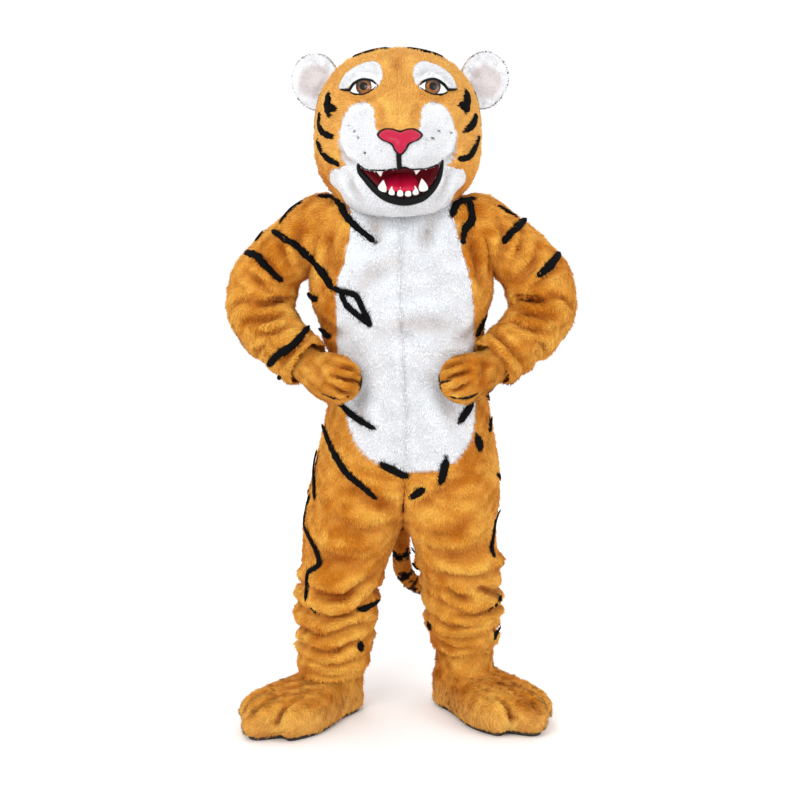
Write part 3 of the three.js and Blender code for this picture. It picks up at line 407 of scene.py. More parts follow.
# %% Boots
# height, reach ahead of the ankle, reach behind it, half width at the heel and across the toes
FOOT = [
    (200, 74, 74, 74, 74), (150, 74, 76, 74, 74), (116, 80, 79, 75, 78), (104, 128, 82, 78, 92),
    (94, 214, 85, 80, 112), (76, 282, 86, 81, 130), (44, 306, 86, 82, 138), (24, 302, 85, 82, 136),
    (12.3, 292, 82, 80, 131),
]
TOES, TOE_DEPTH = 4, 0.085


def on_foot(side, forward, across, height):
    """A place ahead of the ankle and to its side, turned out by the foot's splay."""
    facts = SIDES[side]
    splay = math.radians(facts["splay"])
    x = facts["ankle_out"] + forward * math.sin(splay) + across * math.cos(splay)
    y = facts["ankle_back"] - forward * math.cos(splay) + across * math.sin(splay)
    return np.stack([facts["sign"] * x, y, height + 0 * x], -1)


def foot(side, u, height, grow=0):
    """Rounded levels, wider across the toes, whose front edge rises and falls as toes."""
    ahead_reach, behind, heel, toes = columns(FOOT, height)
    ahead, aside = np.cos(2 * np.pi * u), np.sin(2 * np.pi * u)
    low = ease((110 - height) / 50)
    wave = np.cos(2 * TOES * np.arcsin(np.clip(aside, -1, 1)))
    lobes = 1 + TOE_DEPTH * low * np.maximum(0, ahead) * wave
    reach = np.where(ahead > 0, ahead_reach * lobes, behind) + grow
    forward = np.sign(ahead) * np.abs(ahead) ** 0.75 * reach
    wide = heel + (toes - heel) * ease(forward / 200) + grow
    return on_foot(side, forward, np.sign(aside) * np.abs(aside) ** 0.8 * wide, height)


# %% [markdown]
# ## The head's form
#
# The head is foam carved to a rounded block and skinned with plush. Its surface is the distance
# from the head's centre in each direction: a rounded box, raised or lowered by soft bumps for the
# muzzle, the jaw, the brows and the eye sockets. Directions are a turn and a lift in degrees.

# %% Head
HEAD = np.array([-6.0, -15.0, 1640.0])
HEAD_SIDE, HEAD_FRONT, HEAD_BACK, HEAD_UP, HEAD_DOWN = 221, 188, 214, 214, 232
SQUARENESS = 2.3
# turn, lift, how wide, how tall, how far out
BUMPS = [
    (0, -14, 27, 21, 84), (13, -13, 12, 12, 14), (-13, -13, 12, 12, 14), (0, -47, 30, 15, 70),
    (0, 8, 10, 18, 14), (22, 29, 15, 9, 12), (-22, 29, 15, 9, 12), (24, 14, 10, 7, -9),
    (-24, 14, 10, 7, -9), (66, -26, 26, 22, 12), (-66, -26, 26, 22, 12),
]
NECK_RIM = [(0, 61), (35, 57), (70, 46), (110, 43), (180, 47)]  # turn, how far below level


def direction(turn, lift):
    """The unit vector of a turn and a lift in degrees; at turn 0 it looks ahead, along -y."""
    turn, lift = np.radians(turn), np.radians(lift)
    return np.stack([np.sin(turn) * np.cos(lift), -np.cos(turn) * np.cos(lift), np.sin(lift)], -1)


def head_reach(turn, lift):
    """From the centre to the skin: a rounded box with half sizes for each way, plus the bumps."""
    x, y, z = np.moveaxis(direction(turn, lift), -1, 0)
    total = np.abs(x / HEAD_SIDE) ** SQUARENESS
    total = total + np.abs(y / np.where(y < 0, HEAD_FRONT, HEAD_BACK)) ** SQUARENESS
    total = total + np.abs(z / np.where(z < 0, HEAD_DOWN, HEAD_UP)) ** SQUARENESS
    reach = total ** (-1 / SQUARENESS)
    flat = np.cos(np.radians(np.minimum(60, np.abs(lift))))
    for bump_turn, bump_lift, wide, tall, out in BUMPS:
        far = ((turn - bump_turn) * flat / wide) ** 2 + ((lift - bump_lift) / tall) ** 2
        reach = reach + out * np.exp(-far)
    return reach


def head(turn, lift, raised=0):
    """The head's centre plus the direction times its reach, moved out by raised."""
    return HEAD + direction(turn, lift) * (head_reach(turn, lift) + raised)[..., None]


def face_angles(x, height):
    """The turn and lift of the skin straight behind a place in the front view, by halving."""
    near, far = np.full(np.shape(x), -380.0), np.full(np.shape(x), HEAD[1])
    for _ in range(30):
        y = (near + far) / 2
        offset = np.stack([x, y, height], -1) - HEAD
        length = np.linalg.norm(offset, axis=-1)
        turn = np.degrees(np.arctan2(offset[..., 0], -offset[..., 1]))
        lift = np.degrees(np.arcsin(offset[..., 2] / length))
        outside = length > head_reach(turn, lift)
        near, far = np.where(outside, y, near), np.where(outside, far, y)
    return turn, lift


def face(x, height, raised=0.0):
    """The point of the face straight behind a place in the front view, raised off the skin."""
    x, height = np.broadcast_arrays(np.asarray(x, float), np.asarray(height, float))
    turn, lift = face_angles(x, height)
    return head(turn, lift, raised + 0 * turn)


# %% [markdown]
# ## Skins and shells
#
# A skin is a surface cut into small triangles, each point keeping its two parameters. Points that
# fall together, as where a tube closes, are made one. A shell gives the skin its thickness: the
# same triangles again, moved in and turned over, and a strip along every free edge. Solidify would
# do this too, but made here the wall is closed at once and can be measured.


# %% Skins
def point_normals(points, triangles):
    """The mean of the normals of the triangles at each point, the larger ones counting more."""
    a, b, c = (points[triangles[:, k]] for k in range(3))
    face_normals = np.cross(b - a, c - a)
    total = np.stack([
        np.bincount(triangles.ravel(), np.repeat(face_normals[:, k], 3),
                    len(points)) for k in range(3)
    ], -1)
    return unit(total)


class Skin:
    """Triangles in space, with the surface's two parameters at every point."""

    def __init__(self, points, triangles, u, v):
        """A skin that no fold has moved yet."""
        self.points, self.triangles, self.u, self.v = points, triangles, u, v
        self.lift = np.zeros(len(points))  # how far folds have moved each point out
        self.normals = point_normals(points, triangles)

    def middles(self):
        """The middle of every triangle."""
        return self.points[self.triangles].mean(1)

    def part(self, keep):
        """The skin of some of the triangles only."""
        triangles = self.triangles[keep]
        used, place = np.unique(triangles, return_inverse=True)
        cut = Skin(self.points[used], place.reshape(-1, 3), self.u[used], self.v[used])
        cut.normals, cut.lift = self.normals[used], self.lift[used]
        return cut

    def area(self):
        """The area of every triangle, half the length of its cross product."""
        a, b, c = (self.points[self.triangles[:, k]] for k in range(3))
        return np.linalg.norm(np.cross(b - a, c - a), axis=1) / 2


SAME_PLACE = 0.01  # points that round to the same multiple of this are one


def skin_of(surface, us, vs):
    """A grid of us by vs carried onto a surface, its points that coincide made one, facing out."""
    u, v = np.meshgrid(us, vs)
    points = surface(u, v).reshape(-1, 3)
    index = np.arange(u.size).reshape(u.shape)
    a, b, c, d = index[:-1, :-1], index[:-1, 1:], index[1:, 1:], index[1:, :-1]
    triangles = np.stack([a, b, c, a, c, d], -1).reshape(-1, 3)
    _, first, place = np.unique(np.round(points / SAME_PLACE), axis=0, return_index=True,
                                return_inverse=True)
    triangles = place.reshape(-1)[triangles]
    whole = (triangles != np.roll(triangles, 1, axis=1)).all(1)
    points, triangles = points[first], triangles[whole]
    a, b, c = (points[triangles[:, k]] for k in range(3))
    outward = ((a - points.mean(0)) * np.cross(b - a, c - a)).sum()
    if outward < 0:
        triangles = triangles[:, ::-1]
    return Skin(points, triangles, u.ravel()[first], v.ravel()[first])


def shell(name, skin, thick):
    """A closed wall: the skin, the skin moved in and turned over, and strips on its free edges."""
    count = len(skin.points)
    points = np.concatenate([skin.points, skin.points - skin.normals * thick])
    edges = skin.triangles[:, [0, 1, 1, 2, 2, 0]].reshape(-1, 2).astype(np.int64)
    free = ~np.isin(edges[:, 0] * count + edges[:, 1], edges[:, 1] * count + edges[:, 0])
    a, b = edges[free].T
    strips = np.stack([b, a, a + count, b, a + count, b + count], -1).reshape(-1, 3)
    inside = skin.triangles[:, ::-1] + count
    return mesh_object(name, world(points), np.concatenate([skin.triangles, inside, strips]))


# %% [markdown]
# ## Folds and stripes as given lines
#
# A maker sees a fold or a stripe from one side, so both are written that way: the side it is seen
# from and a few points. From the front or back a point is x and height, from the left or right
# it is y and height, and from above it is x and y. The line is carried straight onto the skin that
# faces that way, and every distance to it is then measured in space, so widths stay true on slopes.

# %% Lines on a skin
VIEWS = {"front": (0, 2, 1, -1), "back": (0, 2, 1, 1), "left": (1, 2, 0, 1), "right": (1, 2, 0, -1),
         "top": (0, 1, 2, 1)}
FOLD_STRENGTH, FOLD_RIDGE = 1.45, 0.45  # how deep folds go, and how high the ridges beside them
LINE_STEPS = 7  # steps between two points of a given line
FACING = 0.08  # the least share of a normal that counts as facing a view


def traced(skin, view, path):
    """A smooth line through a view's points and the skin's normal along it, both the mean of the
    skin's nearest points, and how far off the nearest of these lies in the view."""
    a, b, depth, facing = VIEWS[view]
    places = np.linspace(0, len(path) - 1, LINE_STEPS * (len(path) - 1) + 1)
    flat = read([(k, *point) for k, point in enumerate(path)], places)
    seen = np.flatnonzero(skin.normals[:, depth] * facing > FACING)
    if len(seen) < 5:
        return None, None, None
    points = skin.points[seen]
    gap = (flat[:, None, 0] - points[:, a]) ** 2 + (flat[:, None, 1] - points[:, b]) ** 2
    nearest = np.argpartition(gap, 4, axis=1)[:, :4]
    off = np.take_along_axis(gap, nearest, 1)
    weight = 1 / (off + 1)
    line = np.empty((len(flat), 3))
    line[:, a], line[:, b] = flat.T
    line[:, depth] = (points[nearest, depth] * weight).sum(1) / weight.sum(1)
    normal = unit((skin.normals[seen][nearest] * weight[..., None]).sum(1))
    return line, normal, np.sqrt(off.min(1))


def carried(skin, view, path):
    """A path carried onto the skin: the line alone."""
    return traced(skin, view, path)[0]


def nearness(points, line, reach):
    """Which points lie within reach of a line, how far off they are, and where along it."""
    box = ((points > line.min(0) - reach) & (points < line.max(0) + reach)).all(1)
    near = np.flatnonzero(box)
    step = np.diff(line, axis=0)
    offset = points[near][:, None] - line[:-1]
    share = np.clip((offset * step).sum(-1) / (step**2).sum(-1), 0, 1)
    gap = np.linalg.norm(offset - share[..., None] * step, axis=-1)
    best = gap.argmin(1)
    rows = np.arange(len(near))
    return near, gap[rows, best], (best + share[rows, best]) / len(step)


def folded(skin, folds):
    """The skin with its folds: along each line it goes in by a bell as deep as the fold, between
    two low ridges, and the fold fades towards its ends. A negative depth makes a ridge."""
    lift = np.zeros(len(skin.points))
    for view, width, depth, path in folds:
        line = carried(skin, view, path)
        if line is None:
            continue
        near, gap, along = nearness(skin.points, line, 4 * width)
        across = gap / width
        fade = np.sin(np.pi * np.clip(along, 0.05, 0.95)) ** 0.7
        bell = np.exp(-(across**2)) - FOLD_RIDGE * np.exp(-((across - 2) ** 2))
        lift[near] -= FOLD_STRENGTH * depth * fade * bell
    moved = Skin(skin.points + skin.normals * lift[:, None], skin.triangles, skin.u, skin.v)
    moved.lift = lift
    return moved


def painted_fold_shade(lift):
    """Painted shade in a fold: how much darker pile and cloth are painted where a fold goes in, by
    how deep it goes.
    """
    return np.exp(np.clip(lift, -16, 5)[:, None] * np.array([0.026, 0.042, 0.05]))


def stripe_swell(along):
    """How wide a stripe is along its length: 0.62 of its width at the ends, all in the middle."""
    return 0.62 + 0.38 * np.sin(np.pi * np.clip(along, 0, 1)) ** 0.5


def striped(skin, stripes, points):
    """True at the points inside a stripe. It is widest in its middle, and its edge is uneven."""
    black = np.zeros(len(points), dtype=bool)
    uneven = 1.15 + 0.10 * ripple(points, 22, 5)
    for view, half, path in stripes:
        line = carried(skin, view, path)
        if line is None:
            continue
        near, gap, along = nearness(points, line, 2 * half)
        black[near[gap < half * stripe_swell(along) * uneven[near]]] = True
    return black


SUIT_RIBBON_HEIGHT, HEAD_RIBBON_HEIGHT = 4.5, 3.6  # above the skin, about as high as the pile
RIBBON_WHOLE = 0.75  # the share of a ribbon's points that must lie near the skin
RIBBON_REACH, RIBBON_SIDES = 8.5, 8  # how near the skin a ribbon stays; the sides of its section


def ribbons(name, skin, stripes, raised, thick=2.6):
    """The stripes as flat black ribbons at the height of the pile, joined in one piece. A stripe
    that runs off the skin is cut there and goes on with the next skin's ribbons."""
    points, triangles, count = [], [], 0
    turn = np.linspace(0, 2 * np.pi, RIBBON_SIDES, endpoint=False)
    for view, half, path in stripes:
        line, normal, off = traced(skin, view, path)
        on = np.flatnonzero(off < RIBBON_REACH) if line is not None else []
        if len(on) < 4 or len(on) < RIBBON_WHOLE * (on[-1] - on[0] + 1):
            continue
        on = np.arange(on[0], on[-1] + 1)
        share = on / (len(line) - 1)
        line, normal = line[on], normal[on]
        along = unit(np.gradient(line, axis=0))
        aside = unit(np.cross(along, normal))
        wide = 1.15 * half * stripe_swell(share) * (1 + 0.13 * ripple(line, 14, 6))
        wide[0] = wide[-1] = 0
        high = np.where(wide > 0, thick, 0)
        line = line + normal * raised
        loops = (line[:, None] + aside[:, None] * (np.cos(turn) * wide[:, None])[..., None]
                 + normal[:, None] * (np.sin(turn) * high[:, None])[..., None])
        index = count + np.arange(len(on))[:, None] * RIBBON_SIDES + np.arange(RIBBON_SIDES)
        a, b = index[:-1], np.roll(index[:-1], -1, 1)
        c, d = np.roll(index[1:], -1, 1), index[1:]
        points.append(loops.reshape(-1, 3))
        triangles.append(np.stack([a, d, c, a, c, b], -1).reshape(-1, 3))
        count += loops.shape[0] * RIBBON_SIDES
    piece = mesh_object(name, world(np.concatenate(points)), np.concatenate(triangles))
    dressed(piece, STRIPE_PLUSH, "black_trim")
    print(f"{name}: {len(points)} ribbons, {count * 2} triangles")


# %% [markdown]
# ## Pile
#
# Plush is thousands of strands that cling together in small locks and lie one way, down the body
# and away from the face. Each lock here is one slim three-sided spike, rooted under the cloth's
# face, where it is open, and leaning along the lay. Slow noise turns the lay and gathers the tips,
# as a brushed coat does. Each lock carries painted shade, dark at its root and darker in a fold,
# and painted light, pale at its tip. Its normals are mostly the cloth's, so that light sees a soft
# coat and not a bed of nails.


# %% Pile
COLOUR_EDGE, CUT_SHORT = 0.3, 0.3  # a lock across so large a change of colour keeps this share
LAY_WANDER, LAY_TANGLE = 0.35, 0.225  # how far slow noise and chance turn the lay
GATHERING = 0.16  # how far neighbouring tips are drawn together
LEAN_WANDER, LEAN_CHANCE = 9, 6  # degrees by which slow noise and chance change the lean
ROOT_DEPTH, LEAST_HEIGHT = 1.5, 2.0  # millimetres under the cloth's face, and above the floor
TONE_PLACE, TIP_PLACE = 0.3, 0.95  # where along a lock its colour and its tip's colour are read
# painted shading of a lock: darker at its three root points, lighter at its tip, on dark pile and on
# white
LOCK_PAINTED_SHADING, PALE_PAINTED_SHADING = np.array([0.66, 0.66, 0.82, 1.13]), np.array([0.86, 0.86, 0.94, 1.06])


def wander(points, size, seed):
    """Three ripples as one slowly changing vector."""
    return np.stack([ripple(points, size, seed + k) for k in range(3)], -1)


def pile(name, skin, per_cm2, length, width, lean, lay, colour, seed):
    """Joined locks of pile on a skin. Roots are spread evenly by area; each lock is three root
    points and a tip, three faces open below, leaning from the normal towards the lay."""
    rng = np.random.default_rng(seed)
    area = skin.area()
    count = int(area.sum() / 100 * per_cm2)
    place = (np.arange(count) + rng.uniform(0, 1, count)) / count * area.sum()
    triangle = np.minimum(np.searchsorted(np.cumsum(area), place), len(area) - 1)
    corners = skin.triangles[triangle]
    p, q = np.sqrt(rng.uniform(0, 1, count)), rng.uniform(0, 1, count)
    weights = np.stack([1 - p, p * (1 - q), p * q], -1)[..., None]
    root = (skin.points[corners] * weights).sum(1)
    normal = unit((skin.normals[corners] * weights).sum(1))
    tangent = lay(root, normal)
    tangent = tangent + LAY_WANDER * wander(root, 70, seed)
    tangent = tangent + LAY_TANGLE * rng.normal(size=(count, 3))
    tangent = unit(tangent - normal * (tangent * normal).sum(-1, keepdims=True))
    gather = wander(root, 15, seed + 10)
    gather = gather - normal * (gather * normal).sum(-1, keepdims=True)
    lean = lean + LEAN_WANDER * ripple(root, 30, seed + 20) + rng.normal(0, LEAN_CHANCE, count)
    angle = np.radians(lean)[:, None]
    along = unit(normal * np.cos(angle) + tangent * np.sin(angle) + GATHERING * gather)
    long = (length * rng.uniform(0.75, 1.2, count) * (1 + 0.12 * ripple(root, 24, seed + 30)))[:,
                                                                                               None]
    tone = colour(root + along * long * TONE_PLACE)
    tip_tone = colour(root + along * long * TIP_PLACE)
    crossing = np.abs(tone - tip_tone).max(1, keepdims=True) > COLOUR_EDGE
    long = np.where(crossing, long * CUT_SHORT, long)
    aside = unit(np.cross(along, normal))
    above = np.cross(aside, along)
    above = above * np.sign((above * normal).sum(-1, keepdims=True))
    wide = width * rng.uniform(0.75, 1.25, count)[:, None]
    start = root - normal * ROOT_DEPTH
    tip = start + along * long
    tip[:, 2] = np.maximum(tip[:, 2], LEAST_HEIGHT)
    points = np.stack([
        start + aside * wide / 2, start - aside * wide / 2, start + above * wide * 0.4, tip,
    ], 1)
    solid = np.array([[0, 2, 3], [2, 1, 3], [1, 0, 3]])
    edges = points[:, :3] - points[:, 3:]
    turned = (np.cross(edges[:, 2], edges[:, 0]) * edges[:, 1]).sum(-1) < 0
    faces = solid[None] + 4 * np.arange(count)[:, None, None]
    faces[turned] = faces[turned][..., ::-1]
    piece = mesh_object(name, world(points.reshape(-1, 3)), faces.reshape(-1, 3))
    soft = np.stack([normal + aside * 0.55, normal - aside * 0.55, normal, normal + 0.25 * along],
                    1)
    piece.data.normals_split_custom_set_from_vertices(unit(soft).reshape(-1, 3))
    dip = (skin.lift[corners][..., None] * weights).sum(1)[:, 0]
    pale = ease((tone[:, 2:] - 0.3) / 0.3)  # white pile gets weaker, grey painted shade at its roots and in folds
    # painted shade: a lock in a fold is painted darker, by how deep the fold goes at its root
    dark = painted_fold_shade(dip)
    uneven = 1 + (0.09 - 0.05 * pale) * rng.normal(size=(count, 1))
    tone = tone * uneven * (dark + (dark.mean(1, keepdims=True) - dark) * pale)
    pale = pale[..., None]
    # painted shading: each lock's roots are painted darker and its tip lighter, less so on white pile
    shade = LOCK_PAINTED_SHADING[:, None]
    shade = shade + (PALE_PAINTED_SHADING[:, None] - shade) * pale
    paint(piece, np.clip(tone[:, None] * shade, 0, 1).reshape(-1, 3))
    print(f"{name}: {count} locks on {area.sum() / 1e6:.3f} square metres")
    return piece


def paint(piece, colours):
    """A colour at every point, in the attribute that the plush materials read."""
    layer = piece.data.color_attributes.new("shade", "FLOAT_COLOR", "POINT")
    rgba = np.ones((len(colours), 4), dtype=np.float32)
    rgba[:, :3] = colours
    layer.data.foreach_set("color", rgba.ravel())


# %% [markdown]
# ## Plush, cloth and the few smooth finishes
#
# Plush takes its colour from the "shade" attribute, so one finish serves orange, white and black,
# and a stripe follows the locks it is made of; the attribute also carries painted shade at roots and
# in folds and painted light at tips. Fine noise on Object coordinates varies it again, as dye takes
# unevenly, and some sheen gives the soft bright edge of standing pile. Nose, lips, teeth and eyes
# are smooth: leatherette with a fine grain, enamel, and clear gloss.

# %% Materials
def plush(name, sheen, roughness=0.85, gloss=0.0):
    """A finish whose colour is the piece's attribute times fine noise."""
    material = principled(name, (0.8, 0.8, 0.8), roughness, Sheen_Weight=sheen, Sheen_Roughness=0.5,
                          Specular_IOR_Level=0.12 + 0.4 * gloss, Coat_Weight=gloss)
    nodes, links = material.node_tree.nodes, material.node_tree.links
    shade = nodes.new("ShaderNodeAttribute")
    shade.attribute_name = "shade"
    place = nodes.new("ShaderNodeTexCoord")
    noise = nodes.new("ShaderNodeTexNoise")
    noise.inputs["Scale"].default_value = 260.0
    noise.inputs["Detail"].default_value = 3.0
    spread = nodes.new("ShaderNodeMapRange")
    spread.inputs["To Min"].default_value = 0.82
    spread.inputs["To Max"].default_value = 1.14
    times = nodes.new("ShaderNodeVectorMath")
    times.operation = "MULTIPLY"
    links.new(place.outputs["Object"], noise.inputs["Vector"])
    links.new(noise.outputs["Fac"], spread.inputs["Value"])
    links.new(shade.outputs["Color"], times.inputs[0])
    links.new(spread.outputs["Result"], times.inputs[1])
    links.new(times.outputs["Vector"],
              material.node_tree.nodes["Principled BSDF"].inputs["Base Color"])
    return material


def grained(material, scale, strength, spread=0.25):
    """Adds a fine grain to a smooth finish: noise that lifts the surface and varies its gloss."""
    nodes, links = material.node_tree.nodes, material.node_tree.links
    shader = nodes["Principled BSDF"]
    place = nodes.new("ShaderNodeTexCoord")
    noise = nodes.new("ShaderNodeTexNoise")
    noise.inputs["Scale"].default_value = scale
    noise.inputs["Detail"].default_value = 4.0
    bump = nodes.new("ShaderNodeBump")
    bump.inputs["Strength"].default_value = strength
    bump.inputs["Distance"].default_value = 0.001
    rough = nodes.new("ShaderNodeMapRange")
    base = shader.inputs["Roughness"].default_value
    rough.inputs["To Min"].default_value = base * (1 - spread)
    rough.inputs["To Max"].default_value = min(1.0, base * (1 + spread))
    links.new(place.outputs["Object"], noise.inputs["Vector"])
    links.new(noise.outputs["Fac"], bump.inputs["Height"])
    links.new(noise.outputs["Fac"], rough.inputs["Value"])
    links.new(bump.outputs["Normal"], shader.inputs["Normal"])
    links.new(rough.outputs["Result"], shader.inputs["Roughness"])
    return material


ORANGE_PLUSH = plush("orange_plush", 0.04)
WHITE_PLUSH = plush("white_plush", 0.1)
LIP_VINYL = grained(principled("lip_vinyl", (0.003, 0.003, 0.0035), 0.5, Specular_IOR_Level=0.12),
                    900, 0.2)
NOSE_LEATHER = grained(principled("nose_leatherette", (0.46, 0.003, 0.04), 0.38,
                                  Specular_IOR_Level=0.3), 700, 0.3)
TONGUE_SATIN = grained(principled("tongue_satin", (0.50, 0.005, 0.04), 0.45,
                                  Specular_IOR_Level=0.3), 500, 0.4)
MOUTH_CLOTH = grained(principled("mouth_cloth", (0.26, 0.002, 0.015), 0.65), 800, 0.4)
ENAMEL = grained(principled("tooth_enamel", (0.86, 0.84, 0.79), 0.22, Coat_Weight=0.4), 300, 0.08)
EYE_GLOSS = grained(principled("eye_white_gloss", (0.86, 0.86, 0.85), 0.12, Coat_Weight=0.8), 400,
                    0.02)
STRIPE_PLUSH = grained(principled("stripe_plush", (0.004, 0.004, 0.0045), 0.9,
                                  Specular_IOR_Level=0.05), 900, 0.9)
IRIS_GLOSS = plush("iris_gloss", 0.0, 0.2, 0.35)
PUPIL_GLOSS = grained(principled("pupil_gloss", (0.004, 0.003, 0.003), 0.12,
                                 Specular_IOR_Level=0.3), 400, 0.02)
SOLE_RUBBER = grained(principled("sole_rubber", (0.035, 0.026, 0.02), 0.75), 250, 0.8)

ORANGE_DEEP = np.array([0.58, 0.175, 0.010])
ORANGE_PALE = np.array([0.95, 0.435, 0.068])
ORANGE_LIT = np.array([1.0, 0.56, 0.15])
WHITE = np.array([0.84, 0.85, 0.88])
WARM_GREY = np.array([0.74, 0.68, 0.68])
BLACK = np.array([0.003, 0.003, 0.0035])


def orange(points):
    """Orange that wanders slowly between a deep and a pale dye, with painted light making it lighter
    and yellower on the crown and low on the boots.
    """
    share = np.clip(0.45 + 0.20 * ripple(points, 150, 1) + 0.16 * ripple(points, 36, 2), 0, 1)[:,
                                                                                               None]
    colours = ORANGE_DEEP + (ORANGE_PALE - ORANGE_DEEP) * share
    height = points[:, 2]
    # painted light: the crown above 1490 mm and the boots below 95 mm are painted lighter and
    # yellower, as where more light falls
    painted_light = 0.46 * ease((height - 1490) / 110) + 0.35 * ease((95 - height) / 50)
    return colours + (ORANGE_LIT - colours) * painted_light[:, None]


def white(points):
    """White with slow ripples, and painted light that makes it a little brighter from the shoulders
    up.
    """
    lit = 1 + 0.03 * ripple(points, 60, 4) + 0.09 * ease((points[:, 2] - 1440) / 60)
    return WHITE * lit[:, None]


# %% [markdown]
# ## Stripes and folds of the suit
#
# Stripes are given one by one, each a few points and a half width. A long one runs from the right
# sleeve across the chest and opens like a leaf, the thighs carry slanting ones, and the ankles and
# hips have short strokes. The back, which a visitor also sees, gets bands that curve out from the
# spine. Folds follow what the cloth does: it hangs smooth over the belly, pulls from the armpits
# and the crotch, and slumps into uneven rolls above the boots.

# %% Stripe tables: the side seen, half width, points
SUIT_STRIPES = [
    ("front", 8,
     [(-224, 1462), (-190, 1461), (-161, 1443), (-146, 1414), (-119, 1385), (-66, 1340)]),
    ("front", 9,
     [(-347, 1369), (-304, 1347), (-262, 1315), (-222, 1276), (-182, 1224), (-150, 1208)]),
    ("front", 7, [(-168, 1214), (-120, 1202), (-99, 1165), (-76, 1120)]),
    ("front", 7, [(-160, 1212), (-146, 1180), (-112, 1148), (-76, 1118)]),
    ("front", 9, [(-424, 1311), (-390, 1304), (-366, 1276), (-318, 1233)]),
    ("front", 6, [(-262, 1450), (-300, 1424), (-326, 1389)]),
    ("front", 6, [(-372, 1368), (-396, 1337)]),
    ("front", 9, [(-246, 1116), (-282, 1075), (-329, 1039), (-356, 1010)]),
    ("front", 6, [(-318, 988), (-330, 972)]),
    ("front", 9, [(-252, 1199), (-225, 1184)]), ("front", 9, [(-222, 1106), (-188, 1082)]),
    ("front", 7, [(-170, 912), (-116, 868), (-66, 842)]),
    ("front", 8, [(-215, 838), (-187, 781), (-144, 717), (-106, 684), (-62, 643)]),
    ("front", 7, [(-228, 765), (-238, 707), (-234, 630)]),
    ("front", 7, [(-250, 640), (-266, 560), (-246, 520), (-222, 462), (-256, 419), (-261, 345)]),
    ("front", 9, [(-242, 332), (-234, 318)]), ("front", 9, [(-118, 322), (-58, 335)]),
    ("front", 10, [(-115, 222), (-109, 200)]),
    ("front", 9, [(-55, 749), (22, 709)]), ("front", 10, [(126, 762), (109, 688)]),
    ("front", 10, [(28, 650), (68, 680)]),
    ("front", 9, [(138, 1410), (152, 1442), (204, 1458)]),
    ("front", 9, [(188, 1452), (192, 1403), (170, 1371), (166, 1335)]),
    ("front", 9, [(276, 1336), (311, 1376), (350, 1406)]),
    ("front", 10, [(368, 1250), (401, 1276), (438, 1310)]),
    ("front", 6, [(262, 1438), (320, 1404)]),
    ("front", 9, [(238, 1146), (206, 1084)]), ("front", 9, [(198, 914), (160, 856)]),
    ("front", 11, [(209, 816), (220, 774)]), ("front", 8, [(252, 860), (245, 818)]),
    ("front", 7, [(279, 595), (262, 549), (255, 491), (262, 464)]),
    ("front", 8, [(291, 352), (252, 303)]), ("front", 8, [(286, 246), (264, 212)]),
    ("front", 9, [(82, 262), (89, 244)]), ("front", 6, [(17, 514), (48, 465)]),
    ("front", 6, [(20, 448), (58, 425)]),
    ("back", 10, [(-30, 1400), (-90, 1380), (-150, 1395), (-215, 1368)]),
    ("back", 10, [(34, 1372), (100, 1348), (160, 1362), (225, 1330)]),
    ("back", 9, [(-24, 1296), (-84, 1268), (-150, 1276), (-236, 1240)]),
    ("back", 10, [(26, 1262), (90, 1232), (160, 1238), (238, 1196)]),
    ("back", 9, [(-20, 1180), (-80, 1148), (-130, 1150), (-212, 1110)]),
    ("back", 9, [(36, 1150), (98, 1116), (150, 1120), (216, 1076)]),
    ("back", 9, [(-26, 1060), (-90, 1030), (-204, 1010)]),
    ("back", 9, [(44, 1030), (110, 1000), (214, 985)]),
    ("back", 9, [(-52, 946), (-110, 918), (-214, 905)]),
    ("back", 9, [(70, 920), (130, 890), (224, 880)]),
    ("back", 9, [(-80, 800), (-140, 770), (-232, 775)]),
    ("back", 9, [(96, 790), (160, 752), (250, 760)]),
    ("back", 8, [(-60, 668), (-130, 640), (-256, 650)]),
    ("back", 8, [(74, 650), (150, 618), (262, 640)]),
    ("back", 8, [(-90, 540), (-160, 520), (-262, 545)]),
    ("back", 8, [(70, 520), (150, 495), (262, 520)]),
    ("back", 8, [(-110, 410), (-190, 396), (-270, 420)]),
    ("back", 8, [(110, 392), (190, 372), (262, 392)]),
    ("back", 8, [(-140, 250), (-200, 238), (-260, 262)]),
    ("back", 8, [(130, 268), (190, 250), (250, 276)]),
    ("back", 9, [(-262, 1372), (-330, 1352), (-384, 1330)]),
    ("back", 9, [(256, 1360), (330, 1344), (392, 1318)]),
    ("back", 9, [(-322, 1262), (-380, 1254), (-446, 1262)]),
    ("back", 9, [(320, 1250), (390, 1240), (454, 1244)]),
    ("back", 9, [(-330, 1150), (-396, 1140), (-454, 1150)]),
    ("back", 9, [(334, 1136), (396, 1124), (456, 1130)]),
    ("back", 8, [(-292, 1072), (-340, 1046), (-380, 1034)]),
    ("back", 8, [(290, 1060), (340, 1038), (376, 1020)]),
    ("left", 8, [(-60, 930), (0, 905), (70, 925)]), ("right", 8, [(-70, 940), (0, 915), (60, 930)]),
    ("left", 8, [(-50, 700), (10, 676), (80, 690)]), ("right", 8, [(0, 640), (50, 625), (90, 650)]),
]

